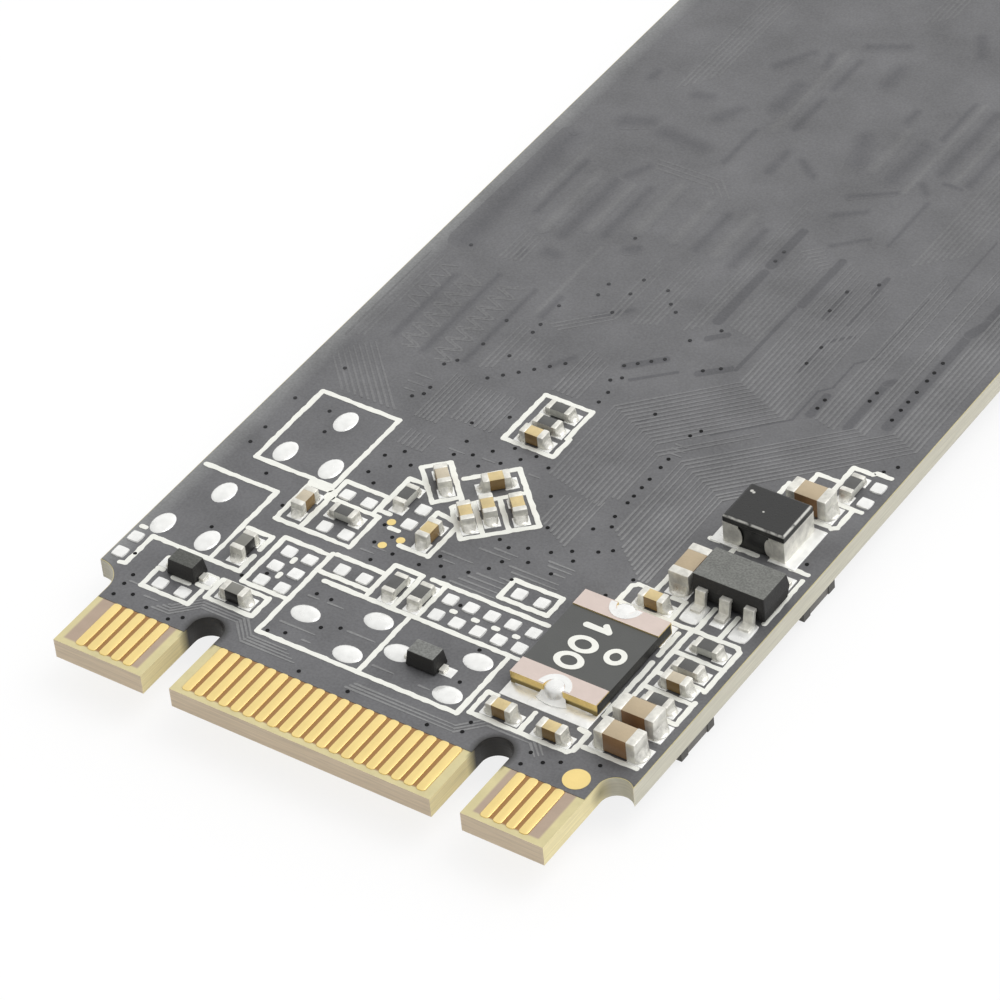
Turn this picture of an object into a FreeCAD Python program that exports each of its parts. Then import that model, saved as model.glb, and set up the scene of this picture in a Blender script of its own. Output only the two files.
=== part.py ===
import FreeCAD, Part
import os
import Sketcher

# Gumstick solid state drive: a keyed card-edge board that lies on its flash packages.
# X runs across the board, Y from the card edge to the screw notch, Z up from the flash packages' faces.

doc = FreeCAD.newDocument("gumstick_drive")
dims = doc.addObject("Spreadsheet::Sheet", "dims")

SIZES = (
    ("board_width", 22.0),
    ("board_length", 80.0),
    ("board_thickness", 0.8),
    ("shoulder_width", 1.075),
    ("tongue_margin", 0.675),
    ("left_shoulder_depth", 4.0),
    ("left_shoulder_radius", 1.0),
    ("right_shoulder_depth", 3.87),
    ("cutter_width", 1.2),
    ("key_depth", 3.5),
    ("contact_pitch", 0.5),
    ("contact_width", 0.35),
    ("contact_setback", 0.2),
    ("contact_end", 2.47),
    ("contact_corner", 0.1),
    ("contact_height", 0.03),
    ("screw_radius", 1.75),
    ("screw_land_radius", 2.75),
    ("screw_plating", 0.05),
    ("pad_height", 0.05),
    ("pad_reach", 0.25),
    ("pad_margin", 0.05),
    ("oval_pad_long", 1.16),
    ("oval_pad_short", 0.84),
    ("square_pad_side", 0.52),
    ("fiducial_radius", 0.47),
    ("test_dot_radius", 0.16),
    ("end_cap_wall", 0.02),
    ("small_capacitor_length", 1.0),
    ("small_capacitor_width", 0.5),
    ("small_capacitor_height", 0.5),
    ("small_capacitor_wrap", 0.25),
    ("large_capacitor_length", 1.6),
    ("large_capacitor_width", 0.8),
    ("large_capacitor_height", 0.82),
    ("large_capacitor_wrap", 0.36),
    ("resistor_length", 1.0),
    ("resistor_width", 0.5),
    ("resistor_height", 0.35),
    ("resistor_wrap", 0.22),
    ("bead_length", 1.0),
    ("bead_width", 0.52),
    ("bead_height", 0.5),
    ("bead_wrap", 0.24),
    ("diode_length", 1.2),
    ("diode_width", 0.8),
    ("diode_height", 0.62),
    ("diode_lead_length", 0.2),
    ("diode_lead_width", 0.34),
    ("diode_lead_height", 0.12),
    ("fuse_length", 4.55),
    ("fuse_width", 3.4),
    ("fuse_height", 0.5),
    ("fuse_foil", 0.05),
    ("fuse_terminal_length", 0.78),
    ("fuse_notch_radius", 0.38),
    ("fuse_near_reach", 0.65),
    ("fuse_far_reach", 0.35),
    ("regulator_length", 2.9),
    ("regulator_width", 1.6),
    ("regulator_height", 1.1),
    ("regulator_standoff", 0.08),
    ("regulator_pitch", 0.95),
    ("regulator_gap", 0.12),
    ("regulator_span", 2.8),
    ("lead_width", 0.4),
    ("lead_thickness", 0.14),
    ("lead_parting_height", 0.6),
    ("lead_shoulder", 0.2),
    ("lead_slope", 0.1),
    ("mould_draft", 7.0),
    ("inductor_length", 2.45),
    ("inductor_width", 1.92),
    ("inductor_height", 1.2),
    ("inductor_cover_height", 0.3),
    ("inductor_cover_edge", 0.08),
    ("inductor_terminal_length", 0.62),
    ("inductor_terminal_wall", 0.06),
    ("power_inductor_length", 2.0),
    ("power_inductor_width", 1.6),
    ("power_inductor_height", 1.0),
    ("power_inductor_wrap", 0.4),
    ("solder_height", 0.1),
    ("flash_length", 18.0),
    ("flash_width", 14.0),
    ("flash_height", 1.1),
    ("flash_land_side", 0.8),
    ("flash_land_pitch", 2.0),
    ("flash_land_spacing", 3.2),
    ("controller_side", 9.0),
    ("controller_height", 0.85),
    ("controller_land_pitch", 0.5),
    ("controller_land_width", 0.25),
    ("controller_land_length", 0.4),
    ("controller_ground_side", 6.0),
    ("crystal_length", 3.2),
    ("crystal_width", 2.5),
    ("crystal_base_height", 0.5),
    ("crystal_lid_height", 0.2),
    ("crystal_lid_step", 0.2),
    ("crystal_land_length", 0.9),
    ("crystal_land_width", 0.7),
)
for row, (alias, value) in enumerate(SIZES, start=1):
    dims.set(f"A{row}", alias)
    dims.set(f"B{row}", str(value))
    dims.setAlias(f"B{row}", alias)
doc.recompute()

# Levels of the board's two faces and the line of the card edge, as expressions on the sheet.
LOWER_FACE = "(dims.flash_height + dims.solder_height)"
UPPER_FACE = f"({LOWER_FACE} + dims.board_thickness)"
CARD_EDGE = "(-dims.board_length / 2)"
TONGUE_HALF = "(dims.board_width / 2 - dims.shoulder_width)"
OVERSHOOT = 1.0
SAME_PLACE = 1e-4

# Places along the card edge, in pitches from the centre line: where each face's middle row starts,
# where its outer rows end beside the key notches, and the notches themselves.
UPPER_MIDDLE_START = -9
UPPER_MIDDLE_COUNT = 20
UPPER_OUTER_ENDS = (-14, 15)
LOWER_MIDDLE_START = -8.5
LOWER_MIDDLE_COUNT = 19
LOWER_OUTER_ENDS = (-13.5, 14.5)
KEY_PLACES = (-11.25, 12.25)

# Places on the board in millimetres: across from the centre line, back from the card edge, turn in degrees.
# The places across were laid out on a board of this width, and spread with it.
LAYOUT_WIDTH = 22.0
SPREAD = f"(dims.board_width / {LAYOUT_WIDTH})"
REGULATOR_PLACE = (9.25, 13.0)
BESIDE_REGULATOR = (
    f"({REGULATOR_PLACE[0]} * {SPREAD} - (dims.regulator_length + dims.large_capacitor_width) / 2"
    " - dims.regulator_gap)"
)
SMALL_CAPACITORS = (
    ("capacitor_c1", -6.35, 9.65, 90),
    ("capacitor_c2", -1.64, 10.39, 90),
    ("capacitor_c3", -2.83, 12.94, -45),
    ("capacitor_c4", 0.29, 12.97, -45),
    ("capacitor_c5", -0.57, 12.41, -45),
    ("capacitor_c6", -1.04, 11.74, -45),
    ("capacitor_c7", -1.12, 13.72, 45),
    ("capacitor_c8", 5.41, 4.4, 0),
    ("capacitor_c9", 7.43, 4.36, 0),
    ("capacitor_c10", 9.74, 8.26, 0),
    ("capacitor_c11", 6.92, 11.26, 0),
    ("capacitor_c12", -1.27, 16.33, 0),
)
LARGE_CAPACITORS = (
    ("capacitor_c13", 9.69, 4.98, 0),
    ("capacitor_c14", 9.63, 6.2, 0),
    ("capacitor_c15", BESIDE_REGULATOR, 13.03, 90),
    ("capacitor_c16", 8.97, 18.02, 0),
)
RESISTORS = (
    ("resistor_r1", -4.8, 9.83, 0),
    ("resistor_r2", -1.15, 7.67, 90),
    ("resistor_r3", -0.12, 7.7, 90),
    ("resistor_r4", -3.43, 11.6, 90),
    ("resistor_r5", 9.72, 10.2, 0),
    ("resistor_r6", 9.69, 9.07, 0),
    ("resistor_r7", 9.67, 7.22, 0),
    ("resistor_r8", -1.28, 17.97, 0),
    ("resistor_r9", -1.27, 17.14, 0),
    ("resistor_r10", 9.72, 19.47, 90),
)
BEADS = (
    ("ferrite_bead_fb1", -6.84, 6.78, 90),
    ("ferrite_bead_fb2", -5.64, 4.64, 0),
)
DIODES = (
    ("diode_d1", -7.93, 4.92, 0),
    ("diode_d2", 1.83, 5.2, 0),
)
FUSE_PLACE = (6.48, 8.11)
INDUCTOR_PLACE = (8.44, 16.08)
POWER_INDUCTORS = (
    ("power_inductor_l2", 9.8, 8.0, 90),
    ("power_inductor_l3", 9.8, 15.7, 90),
)
LOWER_CAPACITORS = (
    (6.4, 13.0, 90),
    (6.4, 15.4, 90),
    (6.4, 17.8, 90),
    (8.6, 32.0, 90),
    (8.6, 40.0, 90),
    (8.6, 56.0, 90),
    (8.6, 64.0, 90),
)
CONTROLLER_PLACE = (0.0, 17.0)
CRYSTAL_PLACE = (-7.6, 15.0)
FLASH_PLACES = (
    ("flash_package_1", 0.0, 37.0),
    ("flash_package_2", 0.0, 60.0),
)
TALL_OVALS = ((-9.29, 8.87), (-10.21, 6.54), (-8.31, 6.55), (-8.7, 11.68), (-6.74, 11.68), (-7.75, 14.0))
WIDE_OVALS = ((-3.16, 5.21), (-0.77, 6.11), (-0.76, 4.28), (0.72, 5.17), (3.28, 6.1), (3.28, 4.3))
PAD_PAIRS = (
    ((-10.6, 5.5), (-10.6, 4.62)),
    ((-8.4, 4.0), (-7.45, 4.0)),
    ((-5.42, 10.83), (-4.5, 10.83)),
    ((-5.15, 9.1), (-4.25, 9.1)),
    ((-3.33, 7.58), (-2.4, 7.58)),
    ((2.65, 9.51), (3.56, 9.51)),
    ((-2.65, 11.45), (-2.65, 10.6)),
    ((10.44, 19.96), (10.44, 19.08)),
)
SIX_PAD_COLUMNS = (-5.46, -4.6)
SIX_PAD_LINES = (7.45, 6.64, 5.83)
TEN_PAD_COLUMNS = (0.76, 1.6, 2.45, 3.3, 4.14)
TEN_PAD_LINES = (8.15, 7.3)
FIDUCIAL_PLACE = (9.17, 3.1)
TEST_DOTS = ((-3.27, 10.42), (-2.45, 9.8), (-2.87, 9.3))

nodes = []


def keep(piece, label):
    """Give a finished piece its label and put it on the list of nodes."""
    piece.Label = label
    nodes.append(piece)
    return piece


def across(place):
    """Distance from the centre line: a number spreads with the board's width, an expression stays."""
    return place[0] if isinstance(place[0], str) else f"({place[0]} * {SPREAD})"


def block(name, size, place, bottom, turn=0, along="0", aside="0"):
    """Box of three sizes centred on a place of the board, turned about the vertical and slid."""
    length, width, height = size
    box = doc.addObject("Part::Box", name)
    box.Placement = FreeCAD.Placement(FreeCAD.Vector(), FreeCAD.Rotation(FreeCAD.Vector(0, 0, 1), turn))
    box.setExpression("Length", length)
    box.setExpression("Width", width)
    box.setExpression("Height", height)
    back = f"(({length}) / 2 - ({along}))"
    side = f"(({width}) / 2 - ({aside}))"
    right = f"{across(place)} - {back} * cos({turn} deg) + {side} * sin({turn} deg)"
    away = f"{CARD_EDGE} + {place[1]} - {back} * sin({turn} deg) - {side} * cos({turn} deg)"
    box.setExpression("Placement.Base.x", right)
    box.setExpression("Placement.Base.y", away)
    box.setExpression("Placement.Base.z", bottom)
    return box


def cut(name, base, tool):
    """One solid less another."""
    result = doc.addObject("Part::Cut", name)
    result.Base = base
    result.Tool = tool
    return result


def group(label, pieces):
    """Like pieces that share one node and stay separate solids."""
    bundle = doc.addObject("Part::Compound", label)
    bundle.Links = pieces
    return keep(bundle, label)


def place_body(body, place, level, turn=0):
    """Put a body's own origin at a place of the board, at one level."""
    body.Placement = FreeCAD.Placement(FreeCAD.Vector(), FreeCAD.Rotation(FreeCAD.Vector(0, 0, 1), turn))
    body.setExpression("Placement.Base.x", across(place))
    body.setExpression("Placement.Base.y", f"{CARD_EDGE} + {place[1]}")
    body.setExpression("Placement.Base.z", level)


def new_body(name):
    """Empty body at the origin."""
    return doc.addObject("PartDesign::Body", name)


def sketch_on(body, name, plane, height=None):
    """Empty sketch on one of a body's own planes, raised by a height where one is given."""
    sketch = body.newObject("Sketcher::SketchObject", name)
    support = [feature for feature in body.Origin.OriginFeatures if feature.Role == plane][0]
    sketch.AttachmentSupport = [(support, "")]
    sketch.MapMode = "FlatFace"
    if height:
        sketch.setExpression("AttachmentOffset.Base.z", height)
    return sketch


def value_of(expression):
    """Number that an expression on the sheet gives now."""
    return float(dims.evalExpression(expression.replace("dims.", "")))


def drive(sketch, kind, first, second, expression):
    """Dimension between two points of a sketch, driven by an expression."""
    index = sketch.addConstraint(Sketcher.Constraint(kind, *first, *second, value_of(expression)))
    sketch.setExpression(f"Constraints[{index}]", expression)


def polygon(sketch, points):
    """Closed outline of straight sides whose corners are pairs of expressions."""
    spots = [FreeCAD.Vector(value_of(x), value_of(y), 0) for x, y in points]
    count = len(spots)
    for index, spot in enumerate(spots):
        sketch.addGeometry(Part.LineSegment(spot, spots[(index + 1) % count]), False)
    for index in range(count):
        sketch.addConstraint(Sketcher.Constraint("Coincident", index, 2, (index + 1) % count, 1))
    for index, (x, y) in enumerate(points):
        drive(sketch, "DistanceX", (-1, 1), (index, 1), x)
        drive(sketch, "DistanceY", (-1, 1), (index, 1), y)


def rectangle(sketch, left, right, near, far):
    """Closed outline of four sides at driven distances from the sketch's axes."""
    polygon(sketch, ((left, near), (right, near), (right, far), (left, far)))


def finger(sketch, centre, width, near, far):
    """Closed outline with a square near end, parallel sides and a full-radius far end."""
    middle, half = value_of(centre), value_of(width) / 2
    low, turn_height = value_of(near), value_of(far) - half
    corners = (
        FreeCAD.Vector(middle - half, low, 0),
        FreeCAD.Vector(middle + half, low, 0),
        FreeCAD.Vector(middle + half, turn_height, 0),
        FreeCAD.Vector(middle - half, turn_height, 0),
    )
    top = FreeCAD.Vector(middle, turn_height + half, 0)
    base = sketch.GeometryCount
    sketch.addGeometry(Part.LineSegment(corners[0], corners[1]), False)
    sketch.addGeometry(Part.LineSegment(corners[1], corners[2]), False)
    sketch.addGeometry(Part.Arc(corners[2], top, corners[3]), False)
    sketch.addGeometry(Part.LineSegment(corners[3], corners[0]), False)
    sketch.addConstraint(Sketcher.Constraint("Coincident", base, 2, base + 1, 1))
    sketch.addConstraint(Sketcher.Constraint("Coincident", base + 3, 2, base, 1))
    sketch.addConstraint(Sketcher.Constraint("Tangent", base + 1, 2, base + 2, 1))
    sketch.addConstraint(Sketcher.Constraint("Tangent", base + 2, 2, base + 3, 1))
    sketch.addConstraint(Sketcher.Constraint("Horizontal", base))
    sketch.addConstraint(Sketcher.Constraint("Vertical", base + 1))
    sketch.addConstraint(Sketcher.Constraint("Vertical", base + 3))
    drive(sketch, "DistanceX", (base, 1), (base, 2), width)
    drive(sketch, "DistanceX", (-1, 1), (base + 2, 3), centre)
    drive(sketch, "DistanceY", (-1, 1), (base, 1), near)
    drive(sketch, "DistanceY", (-1, 1), (base + 2, 3), f"{far} - ({width}) / 2")


def pad(body, sketch, name, length, draft=None, downward=False):
    """Raise a sketch into a solid, with drafted walls where a draft is given."""
    feature = body.newObject("PartDesign::Pad", name)
    feature.Profile = sketch
    feature.setExpression("Length", length)
    feature.Reversed = downward
    if draft:
        feature.setExpression("TaperAngle", f"-{draft}")
    doc.recompute()
    return feature


def pocket(body, sketch, name):
    """Cut a sketch right through the body."""
    feature = body.newObject("PartDesign::Pocket", name)
    feature.Profile = sketch
    feature.Type = "ThroughAll"
    feature.Midplane = True
    doc.recompute()
    return feature


def circuit_board():
    """Laminate with a keyed card edge, two routed shoulders and a half-round screw notch."""
    body = new_body("circuit_board_body")
    half_width = "dims.board_width / 2"
    outline = sketch_on(body, "board_outline", "XY_Plane")
    rectangle(outline, f"-{half_width}", half_width, "0", "dims.board_length")
    pad(body, outline, "board_blank", "dims.board_thickness")

    left = sketch_on(body, "left_shoulder_outline", "XY_Plane")
    outside = f"-{half_width} - {OVERSHOOT}"
    rectangle(left, outside, f"-{TONGUE_HALF}", f"-{OVERSHOOT}", "dims.left_shoulder_depth")
    shoulder = pocket(body, left, "left_shoulder")
    inner_x = -value_of(TONGUE_HALF)
    inner_y = value_of("dims.left_shoulder_depth")
    corner = [
        f"Edge{number}"
        for number, edge in enumerate(shoulder.Shape.Edges, start=1)
        if abs(edge.CenterOfMass.x - inner_x) < SAME_PLACE
        and abs(edge.CenterOfMass.y - inner_y) < SAME_PLACE
    ]
    rounding = body.newObject("PartDesign::Fillet", "left_shoulder_round")
    rounding.Base = (shoulder, corner)
    rounding.setExpression("Radius", "dims.left_shoulder_radius")
    doc.recompute()

    right = sketch_on(body, "right_shoulder_outline", "XY_Plane")
    relief_centre = f"{TONGUE_HALF} + dims.cutter_width / 2"
    finger(right, relief_centre, "dims.cutter_width", f"-{OVERSHOOT}", "dims.right_shoulder_depth")
    pocket(body, right, "right_shoulder")

    keys = sketch_on(body, "key_outlines", "XY_Plane")
    for pitches in KEY_PLACES:
        middle = f"{pitches} * dims.contact_pitch"
        finger(keys, middle, "dims.cutter_width", f"-{OVERSHOOT}", "dims.key_depth")
    pocket(body, keys, "key_notches")

    notch = sketch_on(body, "screw_notch_outline", "XY_Plane")
    wall = "dims.screw_radius + dims.screw_plating"
    centre = FreeCAD.Vector(0, value_of("dims.board_length"), 0)
    notch.addGeometry(Part.Circle(centre, FreeCAD.Vector(0, 0, 1), value_of(wall)), False)
    notch.addConstraint(Sketcher.Constraint("PointOnObject", 0, 3, -2))
    drive(notch, "DistanceY", (-1, 1), (0, 3), "dims.board_length")
    index = notch.addConstraint(Sketcher.Constraint("Radius", 0, value_of(wall)))
    notch.setExpression(f"Constraints[{index}]", wall)
    pocket(body, notch, "screw_notch")
    place_body(body, (0, 0), LOWER_FACE)
    keep(body, "circuit_board")


def contact_row(name, first, count, level):
    """Row of contacts with clipped far corners at the connector's pitch, patterned from the first one."""
    body = new_body(name)
    body.AllowCompound = True
    outline = sketch_on(body, f"{name}_outline", "XY_Plane")
    centre, corner = f"{first} * dims.contact_pitch", "dims.contact_corner"
    left, right = f"{centre} - dims.contact_width / 2", f"{centre} + dims.contact_width / 2"
    near, far = "dims.contact_setback", "dims.contact_end"
    polygon(outline, (
        (left, near), (right, near), (right, f"{far} - {corner}"),
        (f"{right} - {corner}", far), (f"{left} + {corner}", far), (left, f"{far} - {corner}"),
    ))
    contact = pad(body, outline, f"{name}_contact", "dims.contact_height")
    row = body.newObject("PartDesign::LinearPattern", f"{name}_pattern")
    row.Originals = [contact]
    row.Direction = (outline, ["H_Axis"])
    row.setExpression("Length", f"{count - 1} * dims.contact_pitch")
    row.Occurrences = count
    body.Tip = row
    place_body(body, (0, 0), level)
    return body


def outer_count(inner_end):
    """How many contacts fit between an outer row's inner end and the margin at the tongue's side."""
    room = value_of(f"{TONGUE_HALF} - dims.tongue_margin - {abs(inner_end)} * dims.contact_pitch")
    return int(room / value_of("dims.contact_pitch") + SAME_PLACE) + 1


def face_contacts(label, start, count, outer_ends, level):
    """One face's contacts: the middle row and as many on the outer tongues as they hold."""
    left, right = outer_ends
    left_count, right_count = outer_count(left), outer_count(right)
    group(label, [
        contact_row(f"{label}_left", left - left_count + 1, left_count, level),
        contact_row(f"{label}_middle", start, count, level),
        contact_row(f"{label}_right", right, right_count, level),
    ])


def edge_contacts():
    """Both faces' contacts, half a pitch apart."""
    under = f"{LOWER_FACE} - dims.contact_height"
    face_contacts("upper_edge_contacts", UPPER_MIDDLE_START, UPPER_MIDDLE_COUNT, UPPER_OUTER_ENDS, UPPER_FACE)
    face_contacts("lower_edge_contacts", LOWER_MIDDLE_START, LOWER_MIDDLE_COUNT, LOWER_OUTER_ENDS, under)


def screw_notch_plating():
    """Plated half ring that lines the screw notch and lands on both faces."""
    body = new_body("screw_notch_body")
    section = sketch_on(body, "screw_plating_section", "XZ_Plane")
    inner, land = "dims.screw_radius", "dims.screw_land_radius"
    wall = f"{inner} + dims.screw_plating"
    low, high = "-dims.screw_plating", "dims.board_thickness + dims.screw_plating"
    polygon(section, (
        (inner, low), (land, low), (land, "0"), (wall, "0"),
        (wall, "dims.board_thickness"), (land, "dims.board_thickness"), (land, high), (inner, high),
    ))
    ring = body.newObject("PartDesign::Revolution", "screw_plating_ring")
    ring.Profile = section
    ring.ReferenceAxis = (section, ["V_Axis"])
    ring.Angle = 180
    doc.recompute()
    if body.Shape.CenterOfMass.y > 0:
        ring.Reversed = True
    place_body(body, (0, "dims.board_length"), LOWER_FACE)
    keep(body, "screw_notch_plating")


def ellipse_pad(name, place, turn):
    """Oval solder pad of an empty footprint."""
    outline = doc.addObject("Part::Ellipse", f"{name}_outline")
    outline.setExpression("MajorRadius", "dims.oval_pad_long / 2")
    outline.setExpression("MinorRadius", "dims.oval_pad_short / 2")
    place_body(outline, place, UPPER_FACE, turn)
    slug = doc.addObject("Part::Extrusion", name)
    slug.Base = outline
    slug.Dir = FreeCAD.Vector(0, 0, 1)
    slug.Solid = True
    slug.setExpression("LengthFwd", "dims.pad_height")
    return slug


def bare_pads():
    """Solder pads that carry nothing: ovals, and squares in pairs and in two arrays."""
    ovals = [ellipse_pad(f"tall_oval_{n}", place, 90) for n, place in enumerate(TALL_OVALS)]
    ovals += [ellipse_pad(f"wide_oval_{n}", place, 0) for n, place in enumerate(WIDE_OVALS)]
    group("oval_solder_pads", ovals)
    places = [place for pair in PAD_PAIRS for place in pair]
    places += [(x, y) for y in SIX_PAD_LINES for x in SIX_PAD_COLUMNS]
    places += [(x, y) for y in TEN_PAD_LINES for x in TEN_PAD_COLUMNS]
    size = ("dims.square_pad_side", "dims.square_pad_side", "dims.pad_height")
    squares = [block(f"square_pad_{n}", size, spot, UPPER_FACE) for n, spot in enumerate(places)]
    group("square_solder_pads", squares)


def gold_dots():
    """Gold fiducial and test points."""
    dots = []
    spots = [(FIDUCIAL_PLACE, "dims.fiducial_radius")]
    spots += [(place, "dims.test_dot_radius") for place in TEST_DOTS]
    for number, (place, radius) in enumerate(spots):
        dot = doc.addObject("Part::Cylinder", f"gold_dot_{number}")
        dot.setExpression("Radius", radius)
        dot.setExpression("Height", "dims.contact_height")
        place_body(dot, place, UPPER_FACE)
        dots.append(dot)
    group("gold_test_dots", dots)


def chip(name, family, place, turn, below=False):
    """Two-ended chip on its pads: the block inside, the end caps wrapped round it and the pads beneath."""
    length, width, height = (f"dims.{family}_{word}" for word in ("length", "width", "height"))
    wrap, wall = f"dims.{family}_wrap", "dims.end_cap_wall"
    pad_level = f"{LOWER_FACE} - dims.pad_height" if below else UPPER_FACE
    bottom = f"{pad_level} - {height}" if below else f"{UPPER_FACE} + dims.pad_height"
    inside = (f"{length} - 2 * {wall}", f"{width} - 2 * {wall}", f"{height} - 2 * {wall}")
    middle = block(name, inside, place, f"{bottom} + {wall}", turn)
    caps, pads = [], []
    pad_size = (f"{wrap} + dims.pad_reach", f"{width} + 2 * dims.pad_margin", "dims.pad_height")
    for side in (1, -1):
        tag = "a" if side > 0 else "b"
        slide = f"{side} * ({length} - {wrap}) / 2"
        outside = block(f"{name}_outside_{tag}", (wrap, width, height), place, bottom, turn, slide)
        caps.append(cut(f"{name}_cap_{tag}", outside, middle))
        reach = f"{side} * ({length} - {wrap} + dims.pad_reach) / 2"
        pads.append(block(f"{name}_pad_{tag}", pad_size, place, pad_level, turn, reach))
    return middle, caps, pads


def chips(rows, family):
    """Chips of one family on the upper face, each block its own node."""
    caps, pads = [], []
    for name, *place, turn in rows:
        middle, ends, feet = chip(name, family, place, turn)
        keep(middle, name)
        caps += ends
        pads += feet
    return caps, pads


def moulded(name, length, width, height):
    """Body with a rectangular base and drafted walls."""
    body = new_body(name)
    outline = sketch_on(body, f"{name}_outline", "XY_Plane")
    rectangle(outline, f"-{length} / 2", f"{length} / 2", f"-{width} / 2", f"{width} / 2")
    pad(body, outline, f"{name}_upper", height, "dims.mould_draft")
    return body, outline


def diodes():
    """Moulded diodes on flat leads: the second one's left lead stands on an oval pad."""
    leads, pads = [], []
    seat = f"{UPPER_FACE} + dims.pad_height"
    lead_size = ("dims.diode_lead_length", "dims.diode_lead_width", "dims.diode_lead_height")
    pad_size = ("dims.square_pad_side", "dims.diode_lead_width + 2 * dims.pad_margin", "dims.pad_height")
    for name, *place, turn in DIODES:
        body, _ = moulded(f"{name}_body", "dims.diode_length", "dims.diode_width", "dims.diode_height")
        place_body(body, place, seat, turn)
        keep(body, name)
        for side in (1, -1):
            tag = "a" if side > 0 else "b"
            slide = f"{side} * (dims.diode_length + dims.diode_lead_length) / 2"
            leads.append(block(f"{name}_lead_{tag}", lead_size, place, seat, turn, slide))
            on_oval = name == "diode_d2" and side < 0
            if not on_oval:
                reach = f"{side} * (dims.diode_length + dims.square_pad_side) / 2"
                pads.append(block(f"{name}_pad_{tag}", pad_size, place, UPPER_FACE, turn, reach))
    group("diode_leads", leads)
    return pads


def fuse():
    """Resettable fuse: a laminate with foil folded over its ends and a plated half hole in each."""
    seat = f"{UPPER_FACE} + dims.pad_height"
    foil = "dims.fuse_foil"
    core_size = (f"dims.fuse_length - 2 * {foil}", "dims.fuse_width", f"dims.fuse_height - 2 * {foil}")
    core = block("fuse_core", core_size, FUSE_PLACE, f"{seat} + {foil}", 90)
    drills = []
    for radius, tag in ((f"dims.fuse_notch_radius + {foil}", "wide"), ("dims.fuse_notch_radius", "narrow")):
        for side in (1, -1):
            drill = doc.addObject("Part::Cylinder", f"fuse_drill_{tag}_{'far' if side > 0 else 'near'}")
            drill.setExpression("Radius", radius)
            drill.setExpression("Height", "dims.fuse_height")
            place_body(drill, (FUSE_PLACE[0], f"{FUSE_PLACE[1]} + {side} * dims.fuse_length / 2"), seat)
            drills.append(drill)
    notched = cut("fuse_notched_far", core, drills[0])
    laminate = cut("fuse_laminate", notched, drills[1])
    keep(laminate, "fuse_f1")
    terminals, pads = [], []
    end_size = ("dims.fuse_terminal_length", "dims.fuse_width", "dims.fuse_height")
    for side, tag, drill in ((1, "far", drills[2]), (-1, "near", drills[3])):
        slide = f"{side} * (dims.fuse_length - dims.fuse_terminal_length) / 2"
        end = block(f"fuse_end_{tag}", end_size, FUSE_PLACE, seat, 90, slide)
        drilled = cut(f"fuse_end_drilled_{tag}", end, drill)
        terminals.append(cut(f"fuse_terminal_{tag}", drilled, laminate))
        reach = f"dims.fuse_{tag}_reach"
        pad_width = "dims.fuse_width + 2 * dims.pad_margin"
        pad_size = (f"dims.fuse_terminal_length + {reach}", pad_width, "dims.pad_height")
        shift = f"{side} * (dims.fuse_length - dims.fuse_terminal_length + {reach}) / 2"
        pads.append(block(f"fuse_pad_{tag}", pad_size, FUSE_PLACE, UPPER_FACE, 90, shift))
    group("fuse_terminals", terminals)
    return pads


def lead_row(name, turn):
    """Three bent leads down one side of the regulator, patterned from the first."""
    body = new_body(name)
    body.AllowCompound = True
    profile = sketch_on(body, f"{name}_profile", "YZ_Plane")
    half, thick = "dims.regulator_width / 2", "dims.lead_thickness"
    high = f"dims.lead_parting_height + {thick} / 2"
    low = f"dims.lead_parting_height - {thick} / 2"
    bend = f"{half} + dims.lead_shoulder"
    heel = f"{bend} + dims.lead_slope"
    toe = "dims.regulator_span / 2"
    polygon(profile, (
        (half, high), (bend, high), (heel, thick), (toe, thick),
        (toe, "0"), (f"{heel} - {thick}", "0"), (f"{bend} - {thick}", low), (half, low),
    ))
    strip = pad(body, profile, f"{name}_strip", "dims.lead_width")
    row = body.newObject("PartDesign::LinearPattern", f"{name}_pattern")
    row.Originals = [strip]
    row.Direction = (profile, ["N_Axis"])
    row.setExpression("Length", "2 * dims.regulator_pitch")
    row.Occurrences = 3
    body.Tip = row
    doc.recompute()
    sign = 1 if turn == 0 else -1
    start = f"{across(REGULATOR_PLACE)} - {sign} * (dims.regulator_pitch + dims.lead_width / 2)"
    place_body(body, (start, REGULATOR_PLACE[1]), f"{UPPER_FACE} + dims.pad_height", turn)
    return body


def regulator():
    """Six-lead moulded package: drafted above and below its parting line, on bent leads."""
    seat = f"{UPPER_FACE} + dims.pad_height"
    above = "dims.regulator_height - dims.lead_parting_height"
    under = "dims.lead_parting_height - dims.regulator_standoff"
    body, outline = moulded("regulator_body", "dims.regulator_length", "dims.regulator_width", above)
    pad(body, outline, "regulator_lower", under, "dims.mould_draft", True)
    place_body(body, REGULATOR_PLACE, f"{seat} + dims.lead_parting_height")
    keep(body, "regulator_u1")
    group("regulator_leads", [lead_row("regulator_far_leads", 0), lead_row("regulator_near_leads", 180)])
    foot = "(dims.regulator_span - dims.regulator_width) / 2 - dims.lead_shoulder"
    pad_size = ("dims.lead_width + 2 * dims.pad_margin", f"{foot} + dims.pad_reach", "dims.pad_height")
    aside = f"dims.regulator_span / 2 + dims.pad_reach - ({foot} + dims.pad_reach) / 2"
    pads = []
    for step in (-1, 0, 1):
        for side in (1, -1):
            slide = f"{step} * dims.regulator_pitch"
            tag = f"{step + 1}_{'far' if side > 0 else 'near'}"
            name = f"regulator_pad_{tag}"
            pads.append(block(name, pad_size, REGULATOR_PLACE, UPPER_FACE, 0, slide, f"{side} * ({aside})"))
    return pads


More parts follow.
